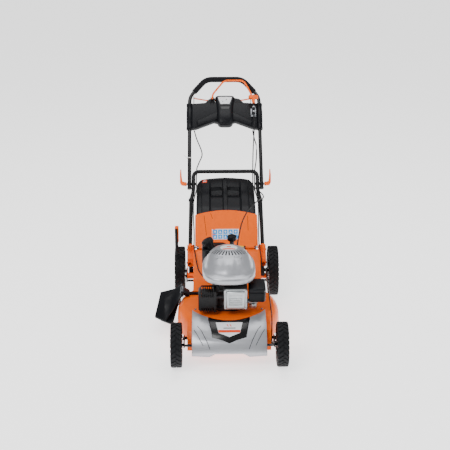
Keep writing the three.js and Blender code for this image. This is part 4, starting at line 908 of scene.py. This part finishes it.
def catcher_lid():
    line = []
    for (y0, z0), (y1, z1) in zip(LID_LINE, LID_LINE[1:]):
        steps = max(2, int(math.hypot(y1 - y0, z1 - z0) / 5))
        line += [(y0 + (y1 - y0) * k / steps, z0 + (z1 - z0) * k / steps) for k in range(steps)]
    line.append(LID_LINE[-1])
    columns = 110
    grid = []
    for y, z in line:
        corner = max(0.0, (y - 704) / 80)
        half = 153 - 52 * (1 - math.sqrt(max(0.0, 1 - min(1.0, corner) ** 2)))
        ring = []
        for j in range(-columns // 2, columns // 2 + 1):
            t = 2 * j / columns
            x = half * t
            edge = max(0.0, (abs(t) - 0.93) / 0.07)
            crown = 14 * (1 - t * t) * smooth_step(600, 740, y) * (1 - edge)
            ring.append(at(x, y, z + crown + lid_relief(x, y) - 9 * edge ** 2))
        for k, drop_by in ((1, 24), (1, 40)):
            low = max(268, z - drop_by)
            ring.append(at(half, y, low))
            ring.insert(0, at(-half, y, low))
        grid.append(ring)
    points, faces = loft(grid, closed=False, caps=False)
    obj = mesh_object("catcher_lid_shell", points, faces)
    thick = obj.modifiers.new("thickness", "SOLIDIFY")
    thick.thickness = 2.6 * MM
    thick.offset = -1
    bake(obj)
    return settle(obj, "catcher", PLASTIC, ("catcher_lid",), 40)


lid = catcher_lid()
drop = ray_onto(lid)
decal("lid_sticker", drop, at(-110, 728, 480), X, Y, panel(13, 14), RED, "catcher", 0.6, 3)
decal("lid_sticker_bar", drop, at(-110, 732, 480), X, Y, panel(8, 2), WHITE, "catcher", 1.0, 2)
decal("lid_sticker_bar_low", drop, at(-110, 724, 480), X, Y, panel(8, 2), WHITE, "catcher", 1.0, 2)

BAG_LINE = [(350, 172), (352, 216), (353, 256), (410, 284), (480, 308), (560, 334), (640, 360), (700, 379),
            (740, 392), (774, 403),
            (773, 350), (770, 300), (766, 250), (757, 200), (745, 150), (733, 104), (722, 84), (700, 77),
            (620, 73), (520, 71),
            (432, 71), (410, 80), (388, 98), (368, 120), (356, 146)]


def bag_ring(x, inset, sag):
    """The bag's outline seen from the side, shrunk towards its middle and let down a little by its weight."""
    middle_y, middle_z = 560, 235
    ring = []
    for y, z in BAG_LINE:
        away = Vector((y - middle_y, z - middle_z))
        place = away * (1 - inset / max(away.length, 1))
        yy, zz = middle_y + place.x, middle_z + place.y
        if zz < 180:
            zz -= sag * smooth_step(360, 450, yy) * (1 - smooth_step(680, 740, yy))
        ripple = noise.noise(Vector((x * 0.013, yy * 0.017, zz * 0.021)))
        fold = noise.noise(Vector((x * 0.045 + 7, yy * 0.03, zz * 0.012)))
        ring.append(at(x + 3.0 * ripple * (1 if abs(x) > 140 else 0), yy + 2.2 * fold, zz + 2.0 * ripple))
    return ring


BAG_END_RINGS = [(170, 150), (150, 146.5), (110, 143.5), (60, 144.5), (20, 148.5)]
BAG_EDGE_X = 150
BAG_SAG = 5


def catcher_bag():
    """A lofted shell: dished side panels, rounded edges and a bottom that sags between them."""
    rings = [bag_ring(-x, inset, 0) for inset, x in BAG_END_RINGS]
    rings.append(bag_ring(-BAG_EDGE_X, 6, 0))
    for x in range(-146, 147, 12):
        rings.append(bag_ring(x, 0 if abs(x) < 140 else 2, BAG_SAG * (1 - (x / 146) ** 2)))
    rings.append(bag_ring(BAG_EDGE_X, 6, 0))
    rings += [bag_ring(x, inset, 0) for inset, x in reversed(BAG_END_RINGS)]
    obj = mesh_object("catcher_bag_cloth", *loft(rings))
    smooth = obj.modifiers.new("smooth", "SUBSURF")
    smooth.levels = 1
    bake(obj)
    settle(obj, "catcher", FABRIC, ("catcher_bag",), 70)
    for k, name in ((-1, "left"), (1, "right")):
        seam = bag_ring(k * 149, 9, 0)
        sweep(f"bag_piping_{name}", flowing(seam + [seam[0]], 4), 2.6, "catcher", RUBBER, sides=10)


catcher_bag()


# ---------------------------------------------------------------- small fittings
def fitting(name, parts, body, material, width=0.0):
    obj = join_parts(name, parts)
    if width:
        bevelled(obj, width)
    return settle(obj, body, material)


for k, name in ((-1, "left"), (1, "right")):
    clip = [loft(sweep_rings([on_handle(k * 179.5, s) for s in (318, 321, 331, 334)],
                             [11.4, 13.4, 13.4, 11.4], 24)),
            slab([(k * 166, 320), (k * 162, 322), (k * 162, 330), (k * 166, 332)], -4, 10, on_handle)]
    fitting(f"cable_clip_{name}", clip, "mower", PLASTIC)
    bolt = [rod(at(k * 197.6, y, z), at(k * 201.6, y, z), 5.4, 6) for y, z in ((300, 196), (342, 250))]
    fitting(f"bracket_bolts_{name}", bolt, "mower", STEEL, 0.5)
    foot = [loft(sweep_rings([on_handle(k * 188.6, s) for s in (391, 393, 399, 401)],
                             [10.6, 11.4, 11.4, 10.6], 20)),
            loft(sweep_rings([on_handle(k * 188.6, s) for s in (412, 414, 426, 428)], [10.8, 12, 12, 10.8],
                             20))]
    fitting(f"fold_sleeve_{name}", foot, "upper_handle", PLASTIC)

adjuster = [on_handle(*p) for p in ((168.3, 650, 0), (168.2, 636, 0.2), (167.6, 622, 1.6))]
sweep("cable_adjuster", adjuster, [3.6, 4.4, 3.6], "upper_handle", WHITE, sides=12)
tie = [loft(sweep_rings([on_handle(-188.6, 570), on_handle(-188.6, 574)], 11.4, 20)),
       rod(on_handle(-200, 572, 0), on_handle(-216, 590, 2), 1.3, 8)]
fitting("cable_tie", tie, "upper_handle", ROPE_WHITE)
spring = []
for i in range(121):
    t = i / 120
    spring.append(on_handle(-167.3 + 4.6 * math.cos(t * 44), 300 - 54 * t, 9.5 + 4.6 * math.sin(t * 44)))
sweep("cable_spring", spring, 0.8, "mower", STEEL, sides=6)
coil = []
for i in range(145):
    t = i / 144
    coil.append(at(-216 + 9.2 * math.cos(t * 62), -17 + 56 * t, 190 + 9.2 * math.sin(t * 62)))
sweep("side_flap_spring", coil, 1.1, "mower", STEEL, sides=6)

lever_edge = [(280, 320), (301, 320), (304, 384), (298, 400), (285, 400), (278, 384)]
fitting("height_lever_edge", [slab(lever_edge, -241.6, -237.6, lambda y, z, x: at(x, y, z))], "rear_axle",
               ORANGE_PLASTIC, 1.5)
top = [(281, 391), (301, 391), (298, 401), (285, 401)]
fitting("height_lever_top", [slab(top, -256, -240, lambda y, z, x: at(x, y, z))], "rear_axle",
        ORANGE_PLASTIC, 2)

fitting("tank_tag", [slab([(-112, -150), (-84, -160), (-80, -150), (-108, -138)], 331, 334, at)], "mower",
        YELLOW, 0.4)
fitting("cap_tag", [slab([(52, 108), (74, 96), (79, 104), (58, 116)], 372, 375, at)], "mower", YELLOW, 0.4)

deck_bolts = []
for x, y in ((-150, -230), (150, -230), (-120, 60), (120, 60), (-60, 118), (60, 118)):
    deck_bolts.append(rod(at(x * 0.93, y, 166), at(x * 0.93, y, 173), 6, 6))
fitting("deck_bolts", deck_bolts, "mower", STEEL, 0.6)
cover_bolts = [rod(at(x, -176, 184), at(x, -176, 190), 5, 6) for x in (-152, 152)]
fitting("cover_bolts", cover_bolts, "mower", STEEL, 0.5)
boxes = [slab([(262, 138), (302, 134), (302, 176), (262, 184)], k * 168, k * 190, lambda y, z,
              x: at(x, y, z)) for k in (-1, 1)]
fitting("rear_knuckle_boxes", boxes, "mower", PLASTIC, 3)
knuckles = []
for k in (-1, 1):
    knuckles.append(rod(at(k * 206, -290, 101.5), at(k * 209.5, -290, 101.5), 9, 24))
fitting("front_pivot_caps", knuckles, "front_axle", PLASTIC, 0.8)


# ---------------------------------------------------------------- stage, lights and camera
CAMERA_AT = at(-84.8, -4072.3, 2276.1)
CAMERA_AIM = at(-7.5, 350, 380.5)
CAMERA_LENS = 76.88
WORLD_STRENGTH = 0.3


def stage_and_camera():
    floor_size = 60.0
    floor = mesh_object("floor", [(-floor_size, -floor_size, -0.0004), (floor_size, -floor_size, -0.0004),
                                  (floor_size, floor_size, -0.0004), (-floor_size, floor_size, -0.0004)],
                        [(0, 1, 2, 3)])
    floor.data.materials.append(PALE_FLOOR)
    world = bpy.data.worlds.new("studio")
    bpy.context.scene.world = world
    world.use_nodes = True
    world.node_tree.nodes["Background"].inputs["Color"].default_value = (1, 1, 1, 1)
    world.node_tree.nodes["Background"].inputs["Strength"].default_value = WORLD_STRENGTH
    lamps = [("key", (-1.6, -2.6, 3.4), 1.8, 95), ("fill", (2.8, -1.8, 2.2), 2.2, 40),
             ("top", (0.0, 0.9, 3.6), 2.6, 75)]
    for name, place, size, power in lamps:
        lamp = bpy.data.lights.new(name, "AREA")
        lamp.size = size
        lamp.energy = power
        obj = bpy.data.objects.new(name, lamp)
        obj.location = place
        obj.rotation_euler = (Vector((0, -0.1, 0.35)) - obj.location).to_track_quat("-Z", "Y").to_euler()
        bpy.context.scene.collection.objects.link(obj)
    camera = bpy.data.objects.new("camera", bpy.data.cameras.new("camera"))
    camera.location = CAMERA_AT
    aim = CAMERA_AIM - camera.location
    camera.rotation_euler = aim.to_track_quat("-Z", "Y").to_euler()
    camera.data.lens = CAMERA_LENS
    camera.data.sensor_width = 36
    bpy.context.scene.collection.objects.link(camera)
    bpy.context.scene.camera = camera


stage_and_camera()
